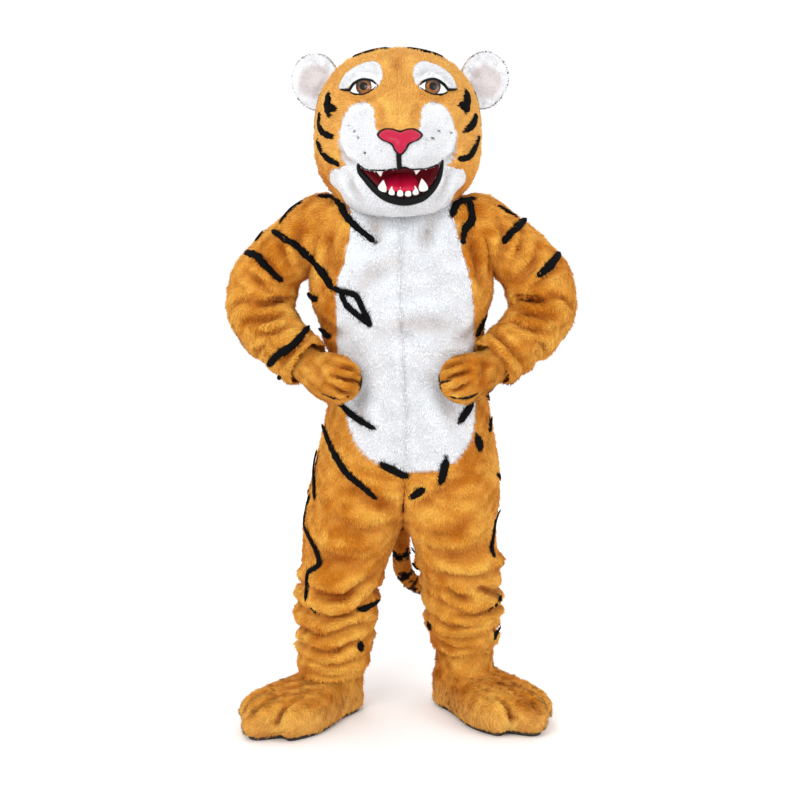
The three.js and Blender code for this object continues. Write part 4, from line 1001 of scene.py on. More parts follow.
# %% Fold tables: the side seen, width, depth, points
BODY_FOLDS = [
    ("front", 20, 6, [(-74, 1420), (-58, 1335)]), ("front", 18, 6, [(84, 1410), (60, 1320)]),
    ("front", 15, 11, [(-176, 1400), (-188, 1330), (-196, 1262), (-222, 1200)]),
    ("front", 12, 8, [(-150, 1370), (-166, 1290), (-190, 1230)]),
    ("front", 15, 10, [(186, 1390), (200, 1320), (214, 1260), (230, 1206)]),
    ("front", 12, 9, [(232, 1400), (240, 1320), (240, 1230)]),
    ("front", 16, 7, [(-214, 1130), (-180, 1100), (-150, 1094)]),
    ("front", 16, 7, [(212, 1120), (186, 1090), (160, 1080)]),
    ("front", 26, 5, [(-40, 1108), (50, 1124), (150, 1118)]),
    ("front", 24, 4, [(-120, 1210), (-60, 1270), (10, 1300)]),
    ("front", 9, 1, [(3, 1440), (6, 1200), (14, 960), (17, 730)]),
    ("front", 22, 6, [(96, 980), (126, 920), (150, 850)]),
    ("front", 20, 5, [(-90, 960), (-110, 900), (-92, 840)]),
    ("front", 7, 5, [(16, 716), (12, 640), (8, 572)]),
    ("front", 20, 8, [(0, 604), (-70, 640), (-160, 706)]),
    ("front", 18, 7, [(24, 604), (90, 650), (170, 712)]),
    ("front", 17, 8, [(-8, 566), (-90, 556), (-190, 596)]),
    ("front", 17, 8, [(24, 566), (110, 548), (200, 590)]),
    ("back", 20, 7, [(-60, 1390), (-110, 1300), (-120, 1200)]),
    ("back", 18, 6, [(70, 1400), (112, 1310), (126, 1220)]),
    ("back", 22, 6, [(-170, 1130), (-60, 1110), (60, 1122), (180, 1100)]),
    ("back", 20, 7, [(-200, 1040), (-90, 1016), (20, 1030)]),
    ("back", 20, 6, [(10, 960), (110, 940), (210, 960)]),
    ("back", 22, 9, [(-210, 700), (-120, 650), (-20, 630)]),
    ("back", 22, 9, [(214, 706), (120, 648), (36, 628)]),
    ("back", 10, 4, [(8, 1440), (12, 1000), (16, 640)]),
    ("left", 18, 7, [(-80, 1060), (0, 1040), (80, 1056)]),
    ("right", 18, 7, [(-80, 1050), (0, 1034), (80, 1050)]),
]
RIGHT_LEG_FOLDS = [
    ("front", 22, 8, [(-262, 500), (-190, 478), (-110, 470)]),
    ("front", 14, 15, [(-272, 388), (-214, 372), (-160, 366), (-112, 396), (-72, 420)]),
    ("front", 11, 15, [(-268, 322), (-200, 306), (-148, 318), (-88, 352)]),
    ("front", 10, 12, [(-190, 268), (-130, 282), (-82, 272)]),
    ("front", 10, 11, [(-276, 262), (-226, 250), (-180, 262)]),
    ("front", 10, 12, [(-268, 214), (-196, 204), (-140, 226), (-96, 230)]),
    ("front", 9, 11, [(-250, 180), (-180, 168), (-112, 178)]),
    ("front", 8, 9, [(-276, 148), (-200, 140), (-130, 146)]),
    ("left", 12, 11, [(-70, 372), (0, 356), (70, 380)]),
    ("left", 11, 11, [(-74, 232), (0, 248), (70, 226)]),
    ("right", 13, 12, [(-80, 392), (0, 376), (84, 398)]),
    ("right", 11, 12, [(-70, 316), (10, 330), (80, 312)]),
    ("right", 11, 11, [(-80, 262), (0, 246), (76, 258)]),
    ("right", 10, 10, [(-70, 204), (0, 214), (74, 196)]),
    ("back", 13, 12, [(-276, 404), (-190, 382), (-100, 396)]),
    ("back", 11, 12, [(-262, 338), (-180, 326), (-90, 344)]),
    ("back", 11, 11, [(-270, 276), (-190, 264), (-100, 280)]),
    ("back", 10, 10, [(-256, 218), (-180, 206), (-110, 222)]),
    ("back", 9, 9, [(-262, 166), (-190, 156), (-120, 168)]),
]
LEFT_LEG_FOLDS = [
    ("front", 22, 8, [(70, 508), (150, 484), (250, 506)]),
    ("front", 15, 17, [(66, 436), (130, 424), (200, 418), (272, 432)]),
    ("front", 12, 13, [(128, 398), (160, 366), (200, 352)]),
    ("front", 12, 13, [(200, 392), (232, 380), (276, 350)]),
    ("front", 10, 12, [(82, 352), (130, 336), (176, 330)]),
    ("front", 11, 12, [(150, 312), (214, 302), (276, 318)]),
    ("front", 10, 12, [(86, 292), (150, 268), (210, 270)]),
    ("front", 10, 11, [(120, 236), (190, 232), (268, 250)]),
    ("front", 9, 10, [(100, 212), (160, 200), (222, 206)]),
    ("right", 12, 11, [(-60, 420), (10, 404), (70, 424)]),
    ("right", 11, 11, [(-60, 282), (20, 296), (80, 278)]),
    ("left", 13, 13, [(-90, 434), (0, 416), (80, 436)]),
    ("left", 11, 12, [(-70, 366), (10, 352), (80, 366)]),
    ("left", 11, 11, [(-60, 300), (20, 314), (90, 298)]),
    ("left", 10, 11, [(-50, 246), (30, 234), (96, 246)]),
    ("back", 13, 12, [(96, 440), (180, 420), (262, 438)]),
    ("back", 11, 12, [(92, 370), (180, 356), (266, 372)]),
    ("back", 11, 11, [(100, 306), (180, 320), (262, 302)]),
    ("back", 10, 10, [(110, 246), (180, 236), (258, 250)]),
]
SLEEVE_FOLDS = [  # seen on the right sleeve; the left one has its like
    ("front", 13, 11, [(-258, 1400), (-274, 1340), (-262, 1280)]),
    ("front", 12, 9, [(-330, 1372), (-310, 1310), (-288, 1262)]),
    ("front", 14, 10, [(-372, 1316), (-344, 1262), (-300, 1218)]),
    ("front", 12, 9, [(-430, 1268), (-386, 1240), (-340, 1200)]),
    ("front", 11, 14, [(-312, 1190), (-350, 1176), (-410, 1180)]),
    ("front", 11, 13, [(-304, 1156), (-352, 1140), (-430, 1128)]),
    ("front", 10, 12, [(-292, 1124), (-340, 1104), (-404, 1084)]),
    ("front", 9, 9, [(-380, 1200), (-440, 1180), (-470, 1150)]),
    ("front", 10, 12, [(-240, 1096), (-284, 1058), (-326, 1010)]),
    ("front", 10, 12, [(-214, 1070), (-262, 1030), (-300, 980)]),
    ("front", 9, 10, [(-352, 1080), (-384, 1050), (-392, 1030)]),
    ("back", 14, 11, [(-264, 1390), (-300, 1330), (-292, 1270)]),
    ("back", 13, 10, [(-380, 1320), (-350, 1260), (-304, 1226)]),
    ("back", 12, 13, [(-312, 1186), (-372, 1172), (-440, 1186)]),
    ("back", 11, 12, [(-308, 1140), (-366, 1124), (-436, 1118)]),
    ("back", 11, 11, [(-270, 1096), (-320, 1066), (-372, 1052)]),
]


def other_side(folds):
    """The like of some folds on the other side, a little shifted so that the two aren't alike."""
    swap_view = {"front": "front", "back": "back", "top": "top", "left": "right", "right": "left"}

    def moved(view, path):
        """The path's points a little higher, their x turned over where the view shows x."""
        shows_x = view in ("front", "back")
        return [(7 - a if shows_x else a, b + 9) for a, b in path]
    return [
        (swap_view[view], width * 0.95, depth * 0.92, moved(view, path))
        for view, width, depth, path in folds
    ]


# %% [markdown]
# ## Outlines seen from the front
#
# The white belly, the brows, the muzzle pads and the jaw are cut by outlines in the front view. A
# closed Catmull-Rom curve through a few corners gives each its soft shape, and a point lies in it
# if a line from it to one side crosses the curve an odd number of times.

# %% Outlines
def closed_curve(corners, steps=8):
    """A smooth closed line through corners: on each span the Catmull-Rom cubic of its neighbours."""
    p1 = np.array(corners, dtype=float)[:, None]
    p0, p2, p3 = np.roll(p1, 1, 0), np.roll(p1, -1, 0), np.roll(p1, -2, 0)
    t = np.linspace(0, 1, steps, endpoint=False)[None, :, None]
    curve = 2 * p1 + (p2 - p0) * t + (2 * p0 - 5 * p1 + 4 * p2 - p3) * t**2
    return ((curve + (3 * p1 - p0 - 3 * p2 + p3) * t**3) / 2).reshape(-1, 2)


def inside(outline, points):
    """True for the points whose place in the front view lies in the outline."""
    x, height = points[:, 0:1], points[:, 2:3]
    (ax, ay), (bx, by) = outline.T, np.roll(outline, -1, 0).T
    level = np.where(by == ay, 1e-9, by - ay)
    crossed = ((ay > height) != (by > height)) & (x < ax + (bx - ax) * (height - ay) / level)
    return crossed.sum(1) % 2 == 1


def in_front(outline, points):
    """True for the points in an outline that lie ahead of the head's centre."""
    return inside(outline, points) & (points[:, 1] < HEAD[1])


def grown(outline, by):
    """Every point of an outline moved away from its middle."""
    offset = outline - outline.mean(0)
    return outline + unit(offset) * by


BELLY = closed_curve([
    (-126, 1500), (-130, 1400), (-150, 1290), (-170, 1225), (-172, 1120), (-168, 1010), (-148, 885),
    (-134, 828), (-104, 780), (-52, 738), (18, 722), (82, 724), (142, 746), (190, 800), (206, 880),
    (205, 1010), (200, 1140), (192, 1225), (168, 1310), (146, 1400), (134, 1500),
])

# %% [markdown]
# ## Body suit
#
# Each half of the suit is one folded skin, from which the belly, the front and the back are taken
# by where their triangles lie. Sewing them as one first means that a fold runs on across a seam,
# as it does in real cloth. Round the armhole the body is cut away where the sleeve goes in.

# %% Body suit pieces
CLOTH, FOAM = 3.0, 8.0  # how thick the wall is that stands for cloth, and for the head's foam
TUCKED = 14.0  # how far one piece runs on inside another
DOWN = np.array([0.0, 0.0, -1.0])


def plush_piece(name, skin, thick, colour, material, slot, nodes, cover, lay, seed, bald=None):
    """A shell of cloth and its pile, riding on the body and standing for its model nodes."""
    cloth = shell("cloth_" + name, skin, thick)
    # painted shade: the cloth under the pile is painted darker in its folds, and at 0.7 of the pile's
    # colour as shade among the roots
    both = np.concatenate([colour(skin.points) * painted_fold_shade(skin.lift)] * 2)
    paint(cloth, both * 0.7)
    furred = skin if bald is None else skin.part(~bald(skin.middles()))
    coat = pile("pile_" + name, furred, *cover, lay, colour, seed)
    dressed(cloth, material, slot, *nodes)
    dressed(coat, material, slot)
    {"cloth": cloth, "pile": coat, "area": skin.area().sum() / 1e6}


def downward(root, normal):
    """The lay of hanging pile: straight down at every root."""
    return DOWN + 0 * root


def belly_or_orange(points):
    """White inside the belly's outline, orange outside it."""
    return np.where(inside(BELLY, points)[:, None], white(points), orange(points))


def with_stripes(skin, stripes, base=orange):
    """A colouring of points: black where a stripe of the table lies, the base elsewhere."""
    return lambda points: np.where(striped(skin, stripes, points)[:, None], BLACK, base(points))


def in_sleeve(side, points):
    """True for the points inside the sleeve's first stretch, by its nearest section."""
    along = np.linspace(0.02, 0.4, 20)
    centre, across, deep = tube(SLEEVE, along, SIDES[side]["sleeve_out"])
    half, depth = columns(SLEEVE, along)[3:]
    offset = mirrored(side, points)[:, None] - centre
    nearest = np.linalg.norm(offset, axis=-1).argmin(1)
    rows = np.arange(len(points))
    a = (offset[rows, nearest] * across[nearest]).sum(-1) / (half[nearest] - TUCKED)
    b = (offset[rows, nearest] * deep[nearest]).sum(-1) / (depth[nearest] - TUCKED)
    return a**2 + b**2 < 1


def in_torso(points):
    """True for the points inside the body's rounded box."""
    middle, right, left, front, back = columns(TORSO, points[:, 2])
    x = np.abs(points[:, 0] - middle) / (np.where(points[:, 0] > middle, left, right) - TUCKED)
    y = np.abs(points[:, 1]) / (np.where(points[:, 1] < 0, front, back) - TUCKED)
    power = 2 / SQUARE
    return (x**power + y**power < 1) & (points[:, 2] < NECK_TOP)


ROUND_STEPS, ROW = 58, 11.4
# a cover: locks on a square centimetre, their length and width, their lean in degrees
ORANGE_COVER, BACK_COVER = (5.6, 10.5, 4.3, 62), (3.4, 12, 5.4, 62)
BELLY_COVER = (6.6, 8, 4.0, 67)
for seed, side in enumerate(SIDES):
    heights = np.linspace(NECK_TOP, SIDES[side]["hem"], int((NECK_TOP - SIDES[side]["hem"]) / ROW))
    plain = skin_of(lambda u, h: suit(side, u, h), np.linspace(0, 1, ROUND_STEPS + 1), heights)
    folds = BODY_FOLDS + (LEFT_LEG_FOLDS if side == "left" else RIGHT_LEG_FOLDS)
    suit_skin = folded(plain, folds)
    middles, turned = suit_skin.middles(), suit_skin.u[suit_skin.triangles].mean(1)
    outside = ~in_sleeve(side, middles)
    belly = inside(BELLY, middles) & (turned < 0.5)
    suit_colour = with_stripes(plain, SUIT_STRIPES)
    belly_colour = with_stripes(plain, SUIT_STRIPES, belly_or_orange)
    ribbons(f"stripes_suit_{side}", suit_skin.part(outside), SUIT_STRIPES, SUIT_RIBBON_HEIGHT)
    plush_piece(f"belly_{side}", suit_skin.part(belly & outside), CLOTH, belly_colour, WHITE_PLUSH,
                "white_fur", [f"belly_{side}"], BELLY_COVER, downward, 100 + seed)
    plush_piece(f"front_{side}", suit_skin.part(outside & ~belly & (turned < 0.5)), CLOTH,
                belly_colour,
                ORANGE_PLUSH, "orange_fur", [f"front_{side}"], ORANGE_COVER, downward, 110 + seed)
    plush_piece(f"back_{side}", suit_skin.part(outside & (turned >= 0.5)), CLOTH, suit_colour,
                ORANGE_PLUSH, "orange_fur", [f"back_{side}"], BACK_COVER, downward, 120 + seed)

# %% [markdown]
# ## Sleeves, mittens, boots and tail
#
# These are the tubes from above and the boots; all but the tail are folded in the same way. On the
# sleeves, mittens and tail the lay of the pile runs along them towards the hand or the tip, so it is
# taken from the direction of the middle line that lies nearest to each root; on the boots it runs
# towards the toes and down.


# %% Sleeves and mittens
def along_line(line, toward=0.0):
    """A lay that follows the nearest stretch of a line of points, with some downward added."""
    heading = unit(np.gradient(line, axis=0))

    def lay(root, normal):
        """The heading at the nearest place on the line, with the downward share added."""
        gap = ((root[:, None] - line) ** 2).sum(-1)
        return heading[gap.argmin(1)] + toward * DOWN + 0 * normal
    return lay


PAW_FOLDS = [  # between the fingers of the right mitten, and over its back
    ("front", 7, 15, [(-172, 1024), (-134, 1011), (-98, 1000)]),
    ("front", 7, 15, [(-178, 997), (-140, 985), (-104, 974)]),
    ("front", 7, 13, [(-180, 970), (-152, 955), (-126, 944)]),
    ("front", 11, 6, [(-236, 1030), (-216, 1000), (-212, 965)]),
]
PAW_STRIPES = {
    side: [(view, half, [(x if side == "right" else -x, h) for x, h in path]) for view, half,
           path in [
        ("front", 7, [(-101, 1020), (-97, 992), (-106, 958)]),
        ("front", 4, [(-128, 1010), (-98, 1000)]),
        ("front", 4, [(-134, 984), (-102, 974)]),
        ("front", 6, [(-205, 946), (-170, 936), (-136, 938)]),
        ("back", 6, [(-120, 1000), (-150, 985), (-190, 976)]),
    ]] for side in SIDES
}
PAW_COVER, PALM_COVER = (10.0, 9, 3.2, 60), (8, 9, 4.0, 60)
FOOT_COVER, TAIL_COVER = (6.2, 11, 4.2, 62), (6.0, 11, 4.0, 58)
EDGE_ROUND = (0.04, 0.36)  # the turns of a mitten that its black underside takes up
for seed, side in enumerate(SIDES):
    folds = SLEEVE_FOLDS if side == "right" else other_side(SLEEVE_FOLDS)
    plain = skin_of(lambda u, a: sleeve(side, u, a), np.linspace(0, 1, 57), np.linspace(0, 1, 66))
    arm = folded(plain, folds)
    arm = arm.part(~in_torso(arm.middles()))
    line = mirrored(side, tube(SLEEVE, np.linspace(0, 1, 30))[0])
    sleeve_colour = with_stripes(plain, SUIT_STRIPES)
    ribbons(f"stripes_sleeve_{side}", arm, SUIT_STRIPES, SUIT_RIBBON_HEIGHT)
    plush_piece(f"sleeve_{side}", arm, CLOTH, sleeve_colour, ORANGE_PLUSH, "orange_fur",
                [f"sleeve_{side}"], ORANGE_COVER, along_line(line, 0.3), 130 + seed)

    folds = PAW_FOLDS if side == "right" else other_side(PAW_FOLDS)
    hand_line = mirrored(side, tube(PAW, np.linspace(0, 1, 20))[0])
    plain_hand = skin_of(lambda u, a: paw(side, u, a), np.linspace(0, 1, 61),
                         np.linspace(0, 1, 50) ** 0.9)
    hand = folded(plain_hand, folds)
    paw_colour = with_stripes(plain_hand, PAW_STRIPES[side])
    under = (hand.u > EDGE_ROUND[0]) & (hand.u < EDGE_ROUND[1]) & (hand.v > 0.5)
    black_under = under[hand.triangles].all(1)
    plush_piece(f"paw_{side}", hand.part(~black_under), CLOTH, paw_colour, ORANGE_PLUSH,
                "orange_fur",
                [f"paw_{side}"], PAW_COVER, along_line(hand_line), 140 + seed)
    plush_piece(f"palm_{side}", hand.part(black_under), CLOTH, lambda p: BLACK + 0 * p,
                ORANGE_PLUSH,
                "black_trim", [f"palm_{side}"], PALM_COVER, along_line(hand_line), 150 + seed)

# %% Boots and soles
for seed, side in enumerate(SIDES):
    heights = np.concatenate([np.linspace(200, 118, 10), np.linspace(114, 62, 28),
                              np.linspace(56, 12.3, 9)])
    gaps = []
    for place in (-64, 2, 66):
        ends = on_foot(side, np.array([205.0, 256.0, 310.0]), np.array([0.86, 0.95, 1.0]) * place,
                       0.0)
        gaps.append(("top", 9, 16, [tuple(p[:2]) for p in ends]))
    crease = on_foot(side, np.array([84.0, 96.0, 84.0]), np.array([-60.0, 0.0, 60.0]), 0.0)
    gaps.append(("top", 14, 3, [tuple(p[:2]) for p in crease]))
    boot = folded(skin_of(lambda u, h: foot(side, u, h), np.linspace(0, 1, 85), heights), gaps)
    toes = on_foot(side, np.array([0.0, 300.0]), np.array([0.0, 0.0]), 60.0)
    ahead = unit(toes[1] - toes[0])
    plush_piece(f"foot_{side}", boot, CLOTH, orange, ORANGE_PLUSH, "orange_fur", [f"foot_{side}"],
                FOOT_COVER, lambda root, normal: ahead + 0.7 * DOWN + 0 * root, 160 + seed)
    edge = [(0, 0), (-1.5, 2), (0, 4), (-1.5, 6), (0, 8), (-2, 11)]  # out from the rim, height
    inward, rise = np.array(edge, float).T
    rows = np.arange(len(edge) + 2)

    def tread(u, row):
        """The sole's ribbed edge between two flat faces that close at their middles."""
        k = np.clip(row.astype(int) - 1, 0, len(edge) - 1)
        rim = foot(side, u, 12.3 + 0 * u, inward[k] - 7)
        centre = on_foot(side, 100.0 + 0 * u, 0 * u, 0 * u)
        rim = np.where(((row == 0) | (row == len(edge) + 1))[..., None], centre, rim)
        return np.concatenate([rim[..., :2], np.clip(rise[k], 0, 12)[..., None]], -1)

    sole_skin = skin_of(tread, np.linspace(0, 1, 97), rows)
    sole = mesh_object(f"made_sole_{side}", world(sole_skin.points), sole_skin.triangles)
    dressed(sole, SOLE_RUBBER, "sole_rubber", f"sole_{side}")

# %% Tail
tail_line = tube(TAIL, np.linspace(0, 1, 60))[0]
tail_skin = skin_of(tail, np.linspace(0, 1, 29), np.linspace(0, 1, 90))
tail_skin = tail_skin.part(~in_torso(tail_skin.middles()))
RINGS = (0.16, 0.26, 0.36, 0.46, 0.56, 0.66, 0.745, 0.80, 0.855, 0.91)


def tail_colour(points):
    """Black rings at uneven places along the tail, and a black tip."""
    along = ((points[:, None] - tail_line) ** 2).sum(-1).argmin(1) / (len(tail_line) - 1)
    along = along + 0.006 * ripple(points, 20, 9)
    ring_near = np.min([np.abs(along - place) for place in RINGS], axis=0) < 0.014
    return np.where((ring_near | (along > 0.965))[:, None], BLACK, orange(points))


plush_piece("tail", tail_skin, CLOTH, tail_colour, ORANGE_PLUSH, "orange_fur", ["tail"], TAIL_COVER,
            along_line(tail_line), 170)

# %% [markdown]
# ## Head
#
# The head's plush is one skin as well, cut where the mouth opens and shared out among the brows,
# the muzzle pads, the jaw and the two halves of the head by their outlines. The pile is short and
# lies away from the nose, as if brushed back. Stripes frame the cheeks and cross the crown, and
# small black dots mark where the whiskers would grow.

# %% Outlines of the face
FACE_MIDDLE = -6  # x of the line that the face's two sides mirror each other in


def swapped(rows):
    """The like of some left outline rows on the right: x turned over in the face's middle."""
    return [(2 * FACE_MIDDLE - x, height) for x, height in rows]


UPPER_LIP = [(-108, 1545), (-83, 1531), (-49, 1528), (-22, 1530), (-4, 1534), (12, 1535),
             (31, 1530),
             (54, 1532), (81, 1537), (100, 1548), (110, 1556)]
LOWER_LIP = [(-104, 1528), (-87, 1507), (-60, 1478), (-30, 1458), (12, 1449), (50, 1456),
             (85, 1484),
             (103, 1519)]
BROW_ROWS = [(33, 1770), (40, 1800), (62, 1813), (100, 1802), (132, 1780), (148, 1752), (146, 1738),
             (128, 1741), (105, 1752), (85, 1758), (60, 1753), (42, 1748)]
PAD_ROWS = [(-5, 1520), (-5, 1588), (14, 1602), (38, 1616), (52, 1640), (58, 1688), (90, 1704),
            (128, 1678), (146, 1622),
            (138, 1562), (104, 1528), (60, 1518)]
JAW_ROWS = [(-128, 1542), (-60, 1512), (8, 1508), (70, 1512), (122, 1538), (150, 1533), (170, 1530),
            (174, 1500), (146, 1470), (120, 1420), (60, 1398), (-6, 1392), (-72, 1398),
            (-132, 1420),
            (-158, 1470), (-186, 1500), (-182, 1530), (-160, 1534)]
NOSE_ROWS = [(-53, 1617), (-38, 1629), (-18, 1628), (0, 1622), (16, 1628), (34, 1629), (52, 1617),
             (42, 1604),
             (21, 1595), (12, 1580), (0, 1569), (-12, 1580), (-19, 1594), (-42, 1604)]
BROW = {"left": closed_curve(BROW_ROWS), "right": closed_curve(swapped(BROW_ROWS))}
PAD = {"left": closed_curve(PAD_ROWS), "right": closed_curve(swapped(PAD_ROWS))}
JAW, NOSE = closed_curve(JAW_ROWS), closed_curve(NOSE_ROWS)
MOUTH = closed_curve(UPPER_LIP + LOWER_LIP[::-1])
# the almond of each eye: x and height along its upper and lower edge, then the iris centre
EYES = {
    "right": ([(-129, 1731), (-117, 1746), (-93, 1756), (-72, 1753), (-58, 1742)],
              [(-129, 1731), (-116, 1723), (-98, 1721), (-76, 1728), (-58, 1742)], (-91, 1739)),
    "left": ([(48, 1740), (62, 1752), (85, 1757), (109, 1746), (123, 1732)],
             [(48, 1740), (66, 1728), (90, 1721), (110, 1723), (123, 1732)], (82, 1739)),
}
IRIS, PUPIL, WHISKER_RADIUS = 20.0, 10.0, 3.0
WHISKERS = [(-119, 1627), (-106, 1612), (-77, 1592), (-90, 1571), (-49, 1576), (-134, 1642),
            (101, 1630),
            (83, 1609), (119, 1604), (52, 1587), (98, 1584), (134, 1625), (126, 1660), (119, 1648)]


def almond(side):
    """An eye's outline: its upper edge, then its lower edge backwards, made smooth."""
    upper, lower, _ = EYES[side]
    return closed_curve(upper + lower[-2:0:-1], 6)


# %% Stripes and folds of the head
HEAD_STRIPES = [
    ("front", 11, [(-186, 1732), (-190, 1703), (-182, 1672)]),
    ("front", 7.5, [(-190, 1700), (-176, 1690), (-166, 1686)]),
    ("front", 7.5, [(-211, 1684), (-213, 1653), (-203, 1630), (-172, 1614)]),
    ("front", 7.5, [(-219, 1612), (-207, 1582), (-187, 1560), (-154, 1544)]),
    ("front", 11, [(173, 1738), (176, 1709), (170, 1680)]),
    ("front", 7.5, [(176, 1704), (164, 1698), (154, 1698)]),
    ("front", 9, [(200, 1678), (195, 1657), (168, 1630)]),
    ("front", 7.5, [(210, 1622), (195, 1586), (175, 1563), (148, 1560)]),
    ("top", 8, [(-126, -60), (-84, -68), (-30, -60)]),
    ("top", 8, [(16, -62), (70, -66), (116, -54)]),
    ("top", 9, [(-134, 0), (-70, -8), (-16, -2)]), ("top", 9, [(4, -4), (66, -10), (126, 4)]),
    ("top", 9, [(-128, 62), (-70, 54), (-20, 60)]), ("top", 9, [(10, 58), (64, 52), (122, 66)]),
    ("back", 9, [(-160, 1770), (-90, 1760), (-20, 1774)]),
    ("back", 9, [(8, 1772), (84, 1756), (152, 1772)]),
    ("back", 9, [(-184, 1700), (-100, 1684), (-22, 1698)]),
    ("back", 9, [(12, 1696), (96, 1680), (176, 1702)]),
    ("back", 9, [(-190, 1626), (-104, 1608), (-26, 1622)]),
    ("back", 9, [(14, 1620), (100, 1606), (180, 1628)]),
    ("back", 9, [(-176, 1550), (-96, 1534), (-24, 1546)]),
    ("back", 9, [(10, 1546), (90, 1532), (168, 1552)]),
    ("right", 9, [(-20, 1740), (0, 1690), (-10, 1640)]),
    ("right", 9, [(60, 1720), (84, 1660), (70, 1600)]),
    ("right", 8, [(-10, 1590), (4, 1550), (-20, 1510)]),
    ("right", 8, [(70, 1560), (84, 1520), (64, 1480)]),
    ("left", 9, [(-20, 1745), (2, 1694), (-8, 1646)]),
    ("left", 9, [(62, 1716), (86, 1656), (70, 1604)]),
    ("left", 8, [(-8, 1588), (6, 1546), (-20, 1506)]),
    ("left", 8, [(70, 1556), (86, 1516), (64, 1476)]),
]
HEAD_FOLDS = [
    ("front", 9, 8, [(-110, 1542), (-142, 1562), (-158, 1596)]),
    ("front", 9, 8, [(112, 1552), (134, 1566), (148, 1600)]),
    ("front", 14, 5, [(-134, 1530), (-124, 1488), (-98, 1450)]),
    ("front", 14, 5, [(130, 1536), (120, 1494), (96, 1456)]),
    ("front", 15, 6, [(-8, 1830), (-6, 1800), (-6, 1780)]),
    ("front", 9, 5, [(-144, 1720), (-98, 1707), (-54, 1722)]),
    ("front", 9, 5, [(40, 1722), (90, 1707), (136, 1722)]),
    ("front", 10, 4, [(-40, 1640), (-48, 1680), (-66, 1702)]),
    ("front", 10, 4, [(30, 1640), (38, 1680), (54, 1702)]),
    ("front", 8, -6, [(-128, 1742), (-94, 1768), (-56, 1756)]),
    ("front", 8, -6, [(46, 1754), (84, 1768), (120, 1744)]),
    ("back", 16, 5, [(-6, 1800), (-8, 1680), (-6, 1500)]),
]

# %% Head panels
COLUMNS, ROWS = 165, 79


def head_surface(turn, share):
    """The head from its crown, share 0, down to the rim of the neck, share 1."""
    low = read(NECK_RIM, np.abs(turn))[..., 0]
    return head(turn, 90 - (90 + low) * share)


raw_head = skin_of(head_surface, np.linspace(-180, 180, COLUMNS), np.linspace(0, 1, ROWS))
head_skin = folded(raw_head, HEAD_FOLDS)
middles = head_skin.middles()
shown = ~in_front(MOUTH, middles)
NOSE_TIP = np.array([-4.0, -270.0, 1612.0])
BRUSHED_DOWN = 0.25


def brushed_back(root, normal):
    """The lay of the face: away from the tip of the nose, and a little down."""
    return unit(root - NOSE_TIP) + BRUSHED_DOWN * DOWN + 0 * normal


def head_colour(points):
    """White in the brows, pads and jaw, orange elsewhere, with stripes and whisker dots."""
    pale = in_front(JAW, points)
    for side in SIDES:
        pale |= in_front(BROW[side], points) | in_front(PAD[side], points)
    colours = np.where(pale[:, None], white(points), orange(points))
    black = striped(raw_head, HEAD_STRIPES, points)
    dot_x, dot_height = np.array(WHISKERS).T
    dots = np.hypot(points[:, None, 0] - dot_x, points[:, None, 2] - dot_height)
    black |= (dots.min(1) < WHISKER_RADIUS) & (points[:, 1] < -80)
    return np.where(black[:, None], BLACK, colours)


def bare_face(points):
    """Where no pile stands: the eyes, the nose and the strip below it."""
    bare = in_front(grown(NOSE, 2), points) | in_front(grown(MOUTH, 4), points)
    below_nose = (points[:, 2] > 1530) & (points[:, 2] < 1580) & (points[:, 1] < -100)
    bare |= (np.abs(points[:, 0] + 3) < 5) & below_nose
    for side in SIDES:
        bare |= in_front(grown(almond(side), 5), points)
    return bare


ribbons("stripes_head", head_skin, HEAD_STRIPES, HEAD_RIBBON_HEIGHT)
panels, taken = {}, ~shown
OUTLINES = {"brow_left": BROW["left"], "brow_right": BROW["right"], "muzzle_left": PAD["left"],
            "muzzle_right": PAD["right"], "jaw": JAW}
for name, outline in OUTLINES.items():
    panels[name] = in_front(outline, middles) & ~taken
    taken = taken | panels[name]
panels["head_left"] = ~taken & (middles[:, 0] > HEAD[0])
panels["head_right"] = ~taken & (middles[:, 0] <= HEAD[0])
COVERS = {"brow": (16, 10, 3.0, 50), "muzzle": (17, 6.5, 2.6, 60), "jaw": (13, 7.5, 3.0, 60),
          "head": (7.4, 9.5, 4.0, 60)}
for seed, (name, keep) in enumerate(panels.items()):
    kind = name.split("_")[0]
    pale = kind != "head"
    plush_piece(name, head_skin.part(keep), FOAM, head_colour,
                WHITE_PLUSH if pale else ORANGE_PLUSH,
                "white_fur" if pale else "orange_fur", [name], COVERS[kind], brushed_back,
                200 + seed, bare_face)

# %% [markdown]
# ## Ears
#
# Each ear is two round dishes sewn together at the rim: white plush with a bare greyish hollow in
# front, orange behind.

# %% Ears
EAR = {"x": 232, "y": 2, "height": 1776, "radius": 69, "facing": 22, "left_up": 5}
EAR_HOLLOW, EAR_CUP = np.array([-14, 18, -4]), np.array([-34, 30])
EAR_COVER = (13, 7, 3.0, 55)


def ear_dish(side, depth):
    """A closed dish: its rows run from the middle of the front over the rim to the back's."""
    facing, sign = math.radians(EAR["facing"]), SIDES[side]["sign"]
    ahead = np.array([math.sin(facing), -math.cos(facing), 0])
    aside = np.array([math.cos(facing), math.sin(facing), 0])
    centre = np.array([EAR["x"], EAR["y"], EAR["height"] + (EAR["left_up"] if sign > 0 else 0)])

    def surface(turn, row):
        """Rows 0 to 1 go out over the front, 1 to 2 come back behind it."""
        out = 1 - np.abs(1 - row)
        angle = 2 * np.pi * turn
        reach = EAR["radius"] * (1 + 0.3 * np.clip(np.cos(angle - math.radians(235)), 0,
                                                   1) ** 2) * out
        place = centre + aside * (np.cos(angle) * reach)[..., None]
        place = place - DOWN * (np.sin(angle) * reach)[..., None]
        return mirrored(side, place + ahead * depth(out, row)[..., None])
    return skin_of(surface, np.linspace(0, 1, 61), np.linspace(0, 2, 31))


def ear_hollow(out):
    """The hollow of an ear: deepest in its middle, level at its rim."""
    return EAR_HOLLOW[0] + EAR_HOLLOW[1] * out**2 + EAR_HOLLOW[2] * out**8


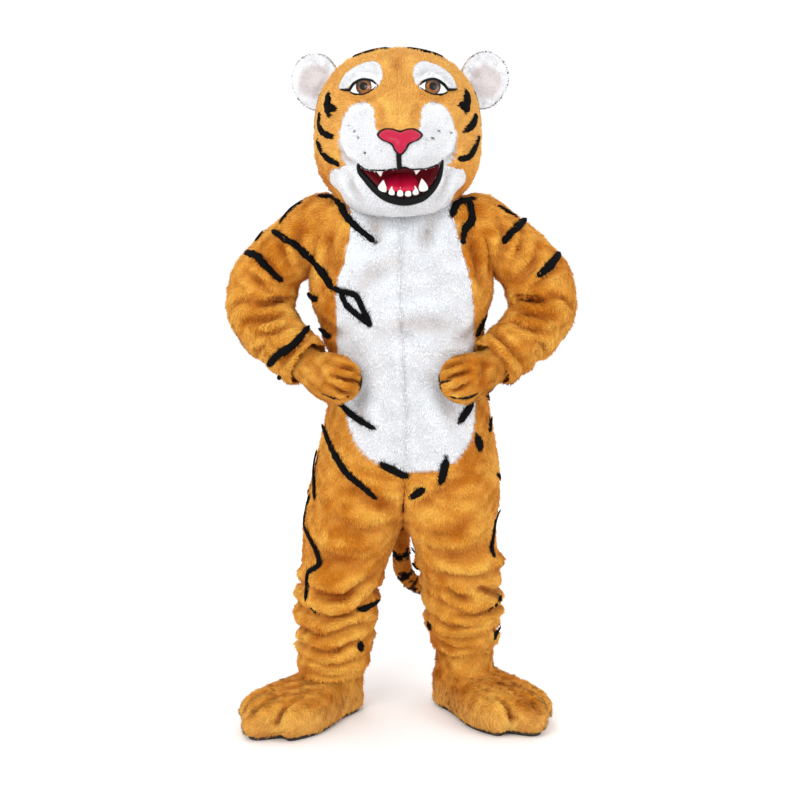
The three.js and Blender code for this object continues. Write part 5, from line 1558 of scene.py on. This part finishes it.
def ear_front(out, row):
    """How far ahead the front dish lies: the hollow, and behind it the dish's own back."""
    hollow = ear_hollow(out)
    return np.where(row <= 1, hollow, hollow - 8 * (1 - out**6))


def ear_rear(out, row):
    """How far ahead the rear dish lies: close behind the front one, and then a round cup."""
    near = ear_hollow(out) - 8.3
    cup = np.minimum(EAR_CUP[0] + EAR_CUP[1] * out**3, near - 3) + 3 * out**6
    return np.where(row <= 1, near, cup)


def rimward(side):
    """The lay of an ear: away from a place behind its middle, towards the rim."""
    sign = SIDES[side]["sign"]
    centre = np.array([sign * EAR["x"], EAR["y"] + 20, EAR["height"]])
    return lambda root, normal: unit(root - centre) + 0 * normal


for seed, side in enumerate(SIDES):
    centre = np.array([SIDES[side]["sign"] * EAR["x"], EAR["y"], EAR["height"]])

    def ear_colour(points):
        """Grey in the hollow, white towards the rim."""
        out = np.hypot(points[:, 0] - centre[0], points[:, 2] - centre[2] + 6) / EAR["radius"]
        share = ease((0.74 - out) / 0.2)[:, None]
        return white(points) * (1 - share) + WARM_GREY * share

    # each dish: its form and colour, then the way its pile faces and the least it may face it
    for name, depth, colour, material, slot, way, least in (
        ("ear", ear_front, ear_colour, WHITE_PLUSH, "white_fur", -1, -0.5),
        ("ear_back", ear_rear, orange, ORANGE_PLUSH, "orange_fur", 1, 0.25),
    ):
        dish = ear_dish(side, depth)
        body = mesh_object(f"cloth_{name}_{side}", world(dish.points), dish.triangles)
        # painted shade: an ear's cloth is painted at 0.85 of its pile's colour, as shade among the
        # roots
        paint(body, colour(dish.points) * 0.85)
        furred = dish.part(dish.normals[dish.triangles, 1].mean(1) * way > least)
        coat = pile(f"pile_{name}_{side}", furred, *EAR_COVER, rimward(side), colour, 220 + seed)
        dressed(body, material, slot, f"{name}_{side}")
        dressed(coat, material, slot)

# %% [markdown]
# ## Nose, lips, mouth, teeth and eyes
#
# These are the smooth parts. The nose is a small leatherette pillow in a black rim. The lips are a
# black cord that is thick below and thin above. Behind them the mouth goes in as a red bowl with a
# padded tongue. The eyes are domed almonds, each with an iris the almond cuts off above and below,
# and a lash line that is heavier on top.


# %% Cords and patches
def piece_of(name, skin, material, slot, *nodes):
    """A smooth piece made from a closed skin."""
    piece = mesh_object("made_" + name, world(skin.points), skin.triangles)
    return dressed(piece, material, slot, *nodes)


def cord(line, radius, flat=1.0, round_steps=14):
    """A tube along a line of points with its own radius at each; it closes where this is zero."""
    line, radius = np.asarray(line, float), np.asarray(radius, float)
    closed = np.allclose(line[0], line[-1])
    along = np.gradient(line, axis=0)
    if closed:
        along[0] = along[-1] = line[1] - line[-2]
    up = unit(line - HEAD)
    aside = unit(np.cross(along, up))
    up = unit(np.cross(aside, along))

    def surface(turn, row):
        """The ring round one point of the line."""
        k = row.astype(int)
        angle = 2 * np.pi * turn
        return (line[k] + aside[k] * (np.cos(angle) * radius[k])[..., None]
                + up[k] * (np.sin(angle) * radius[k] * flat)[..., None])
    return skin_of(surface, np.linspace(0, 1, round_steps + 1), np.arange(len(line)))


def smooth_line(rows, steps=6):
    """A smooth open line through x, height rows."""
    places = np.linspace(0, len(rows) - 1, steps * (len(rows) - 1) + 1)
    return read([(k, *row) for k, row in enumerate(rows)], places)


def patch(outline, profile, centre=None):
    """A closed piece on the face: an outline shrunk towards a centre by each profile row's
    share, and raised off the skin by the row's second value."""
    centre = outline.mean(0) if centre is None else np.array(centre, float)
    loop = np.concatenate([outline, outline[:1]])
    share, raised = np.array(profile, float).T

    def surface(place, row):
        """The outline, shrunk and raised as one row of the profile says."""
        k, i = row.astype(int), place.astype(int)
        flat = centre + (loop[i] - centre) * share[k][..., None]
        return face(flat[..., 0], flat[..., 1], raised[k])
    return skin_of(surface, np.arange(len(loop)), np.arange(len(share)))


def dome(back, edge, top, rim=1.0, steps=7):
    """A profile: flat behind, straight up at the edge, then a quarter round to the top."""
    angle = np.linspace(0, np.pi / 2, steps)
    rows = [(0, back), (0.6, back), (rim, back)]
    return rows + [(rim * math.cos(a), edge + (top - edge) * math.sin(a)) for a in angle]


# %% Nose and lips
piece_of("nose_edge", patch(grown(NOSE, 5), dome(-4, 5, 12)), LIP_VINYL, "black_trim", "nose_edge")
nose_profile = dome(2, 9, 21, 0.97, 12)
nose = piece_of("nose", patch(NOSE, nose_profile), NOSE_LEATHER, "nose_vinyl", "nose")
strip = smooth_line([(-4, 1578), (-3, 1560), (-2, 1540), (-1, 1531)])
piece_of("philtrum", cord(face(*strip.T, 3.0), np.r_[0, np.full(len(strip) - 2, 6.5), 0], 0.7),
         LIP_VINYL,
         "black_trim")
upper = smooth_line(UPPER_LIP)
lower = smooth_line(UPPER_LIP[:1] + LOWER_LIP + UPPER_LIP[-1:])
low_share = np.linspace(0, 1, len(lower))
low_radius = 2.5 + 8.5 * np.sin(np.pi * low_share) ** 0.6
up_radius = np.full(len(upper), 2.0)
loop = np.concatenate([upper, lower[::-1][1:]])
loop_radius = np.concatenate([up_radius, low_radius[::-1][1:]])
loop_radius[-1] = loop_radius[0] = 2.0
piece_of("lip", cord(face(*loop.T, 1.0), loop_radius, 0.9, 18), LIP_VINYL, "black_trim", "lip")

# %% Mouth, tongue and teeth
BOWL_DEPTH = 84
bowl_outline = grown(MOUTH, 6)
outs = np.sqrt(np.linspace(0, 1, 16))[::-1]
bowl_rows = [(out, -6 - BOWL_DEPTH * math.sqrt(max(0.0, 1 - out**6))) for out in outs]
bowl_rows = [(o * 1.02 + 0.02 * (o > 0), r - 4) for o, r in bowl_rows[::-1]] + bowl_rows
piece_of("mouth_lining", patch(bowl_outline, bowl_rows), MOUTH_CLOTH, "mouth_cloth", "mouth_lining")
TONGUE_ROOT, TONGUE_AHEAD = np.array([2.0, -168.0, 1520.0]), unit(np.array([0.0, -1.0, -0.6]))
TONGUE_UP, TONGUE_ASIDE = unit(np.array([0.0, -0.6, 1.0])), np.array([1.0, 0, 0])
TONGUE_HALF, TONGUE_THICK, TONGUE_LONG, GROOVE = 50, 13, 82, 6


def tongue_surface(turn, row):
    """A flattened egg with a groove down the middle of its top, wide towards its tip."""
    angle, along = 2 * np.pi * turn, np.pi * row
    swell = np.clip(np.sin(along), 0, 1) ** 0.55 * (0.82 + 0.18 * row)
    side = np.cos(angle) * swell
    thick = np.sin(angle) * TONGUE_THICK * swell
    thick = thick - GROOVE * np.exp(-((side / 0.14) ** 2)) * (np.sin(angle) > 0) * swell
    ahead = TONGUE_LONG * (0.5 - 0.5 * np.cos(along))
    wide = side * TONGUE_HALF
    return (TONGUE_ROOT + TONGUE_AHEAD * ahead[..., None] + TONGUE_ASIDE * wide[..., None]
            + TONGUE_UP * (thick - 4 * side**2)[..., None])


tongue = piece_of("tongue", skin_of(tongue_surface, np.linspace(0, 1, 49), np.linspace(0, 1, 29)),
                  TONGUE_SATIN,
                  "tongue_cloth", "tongue")
# piece, root, tip, half width at the root
TEETH = [
    ("canine_upper_right", (-57, 1544), (-51, 1507), 13),
    ("canine_upper_left", (49, 1547), (43, 1512), 13),
    ("canine_lower_right", (-48, 1468), (-43, 1502), 13),
    ("canine_lower_left", (62, 1472), (57, 1506), 13),
    ("incisor_outer_right", (-22, 1462), (-21, 1486), 8.5),
    ("incisor_inner_right", (0, 1459), (1, 1484), 8.5),
    ("incisor_inner_left", (21, 1459), (21, 1484), 8.5),
    ("incisor_outer_left", (41, 1463), (39, 1487), 8.5),
]
TOOTH = np.array([0.0, 0.92, 1.0, 0.96, 0.85, 0.68, 0.46, 0.24, 0.0])
for name, root, tip, half in TEETH:
    steps = np.linspace(0, 1, len(TOOTH))[:, None]
    way = np.array(root) + (np.array(tip) - np.array(root)) * steps
    set_back = -12 + 3 * steps[:, 0] if "upper" in name else -2 - 3 * steps[:, 0]
    spine = face(way[:, 0], way[:, 1], set_back)
    piece_of(name, cord(spine, TOOTH * half, 0.7), ENAMEL, "teeth", name)

# %% Eyes
IRIS_BROWN, IRIS_RIM = np.array([0.24, 0.075, 0.008]), np.array([0.012, 0.006, 0.004])


def clipped_circle(side, radius, inset=0.0):
    """A circle round the iris centre, kept between the upper and the lower edge of the almond."""
    above, below, (x, height) = EYES[side]
    angle = np.linspace(0, 2 * np.pi, 48, endpoint=False)
    circle = np.stack([x + radius * np.cos(angle), height + radius * np.sin(angle)], -1)
    top, bottom = read(above, circle[:, 0])[:, 0] - inset, read(below, circle[:, 0])[:, 0] + inset
    circle[:, 1] = np.clip(circle[:, 1], bottom, top)
    return circle


def lash(name, rows, raised, thick):
    """A black cord along the edge of an eye, thickest in its middle."""
    line = smooth_line(rows)
    radius = thick * np.sin(np.pi * np.linspace(0, 1, len(line))) ** 0.45
    piece_of(name, cord(face(*line.T, raised), radius), LIP_VINYL, "black_trim")


for side in SIDES:
    outline, (above, below, centre) = almond(side), EYES[side]
    piece_of(f"lid_{side}", patch(grown(outline, 2.5), dome(-6, -1, 3)), LIP_VINYL, "black_trim",
             f"lid_{side}")
    piece_of(f"eye_{side}", patch(outline, dome(-3, 2, 7)), EYE_GLOSS, "eye_white", f"eye_{side}")
    iris_profile = dome(1, 6.4, 8.2)
    iris_skin = patch(clipped_circle(side, IRIS), iris_profile, centre)
    iris = piece_of(f"iris_{side}", iris_skin, IRIS_GLOSS, "iris", f"iris_{side}")
    out = np.hypot(iris_skin.points[:, 0] - centre[0], iris_skin.points[:, 2] - centre[1]) / IRIS
    share = ease((out - 0.72) / 0.2)[:, None]
    mottle = 1 + 0.3 * ripple(iris_skin.points, 5, 3)[:, None]
    paint(iris, IRIS_BROWN * (1 - share) * mottle + IRIS_RIM * share)
    piece_of(f"pupil_{side}", patch(clipped_circle(side, PUPIL), dome(3, 8.4, 9.4), centre),
             PUPIL_GLOSS,
             "black_trim", f"pupil_{side}")
    out_way = 1 if side == "left" else -1
    ends = sorted(above, key=lambda row: row[0] * out_way)
    x, height = ends[-1]
    flick = ends + [(x + out_way * 12, height + 1), (x + out_way * 25, height + 4)]
    lash(f"lash_upper_{side}", [(x, height + 1.5) for x, height in flick], 5.0, 4.2)
    lash(f"lash_lower_{side}", sorted(below, key=lambda row: row[0] * out_way), 3.5, 2.2)

# %% [markdown]
# ## Triangles added
#
# The pieces made here are counted by their triangles.

# %% Triangles added
added = [o for o in bpy.data.objects if o.type == "MESH" and o.name.split("_")[0] in
         ("cloth", "pile", "made", "stripes")]
print("triangles added", sum(len(o.data.loops) - 2 * len(o.data.polygons) for o in added))
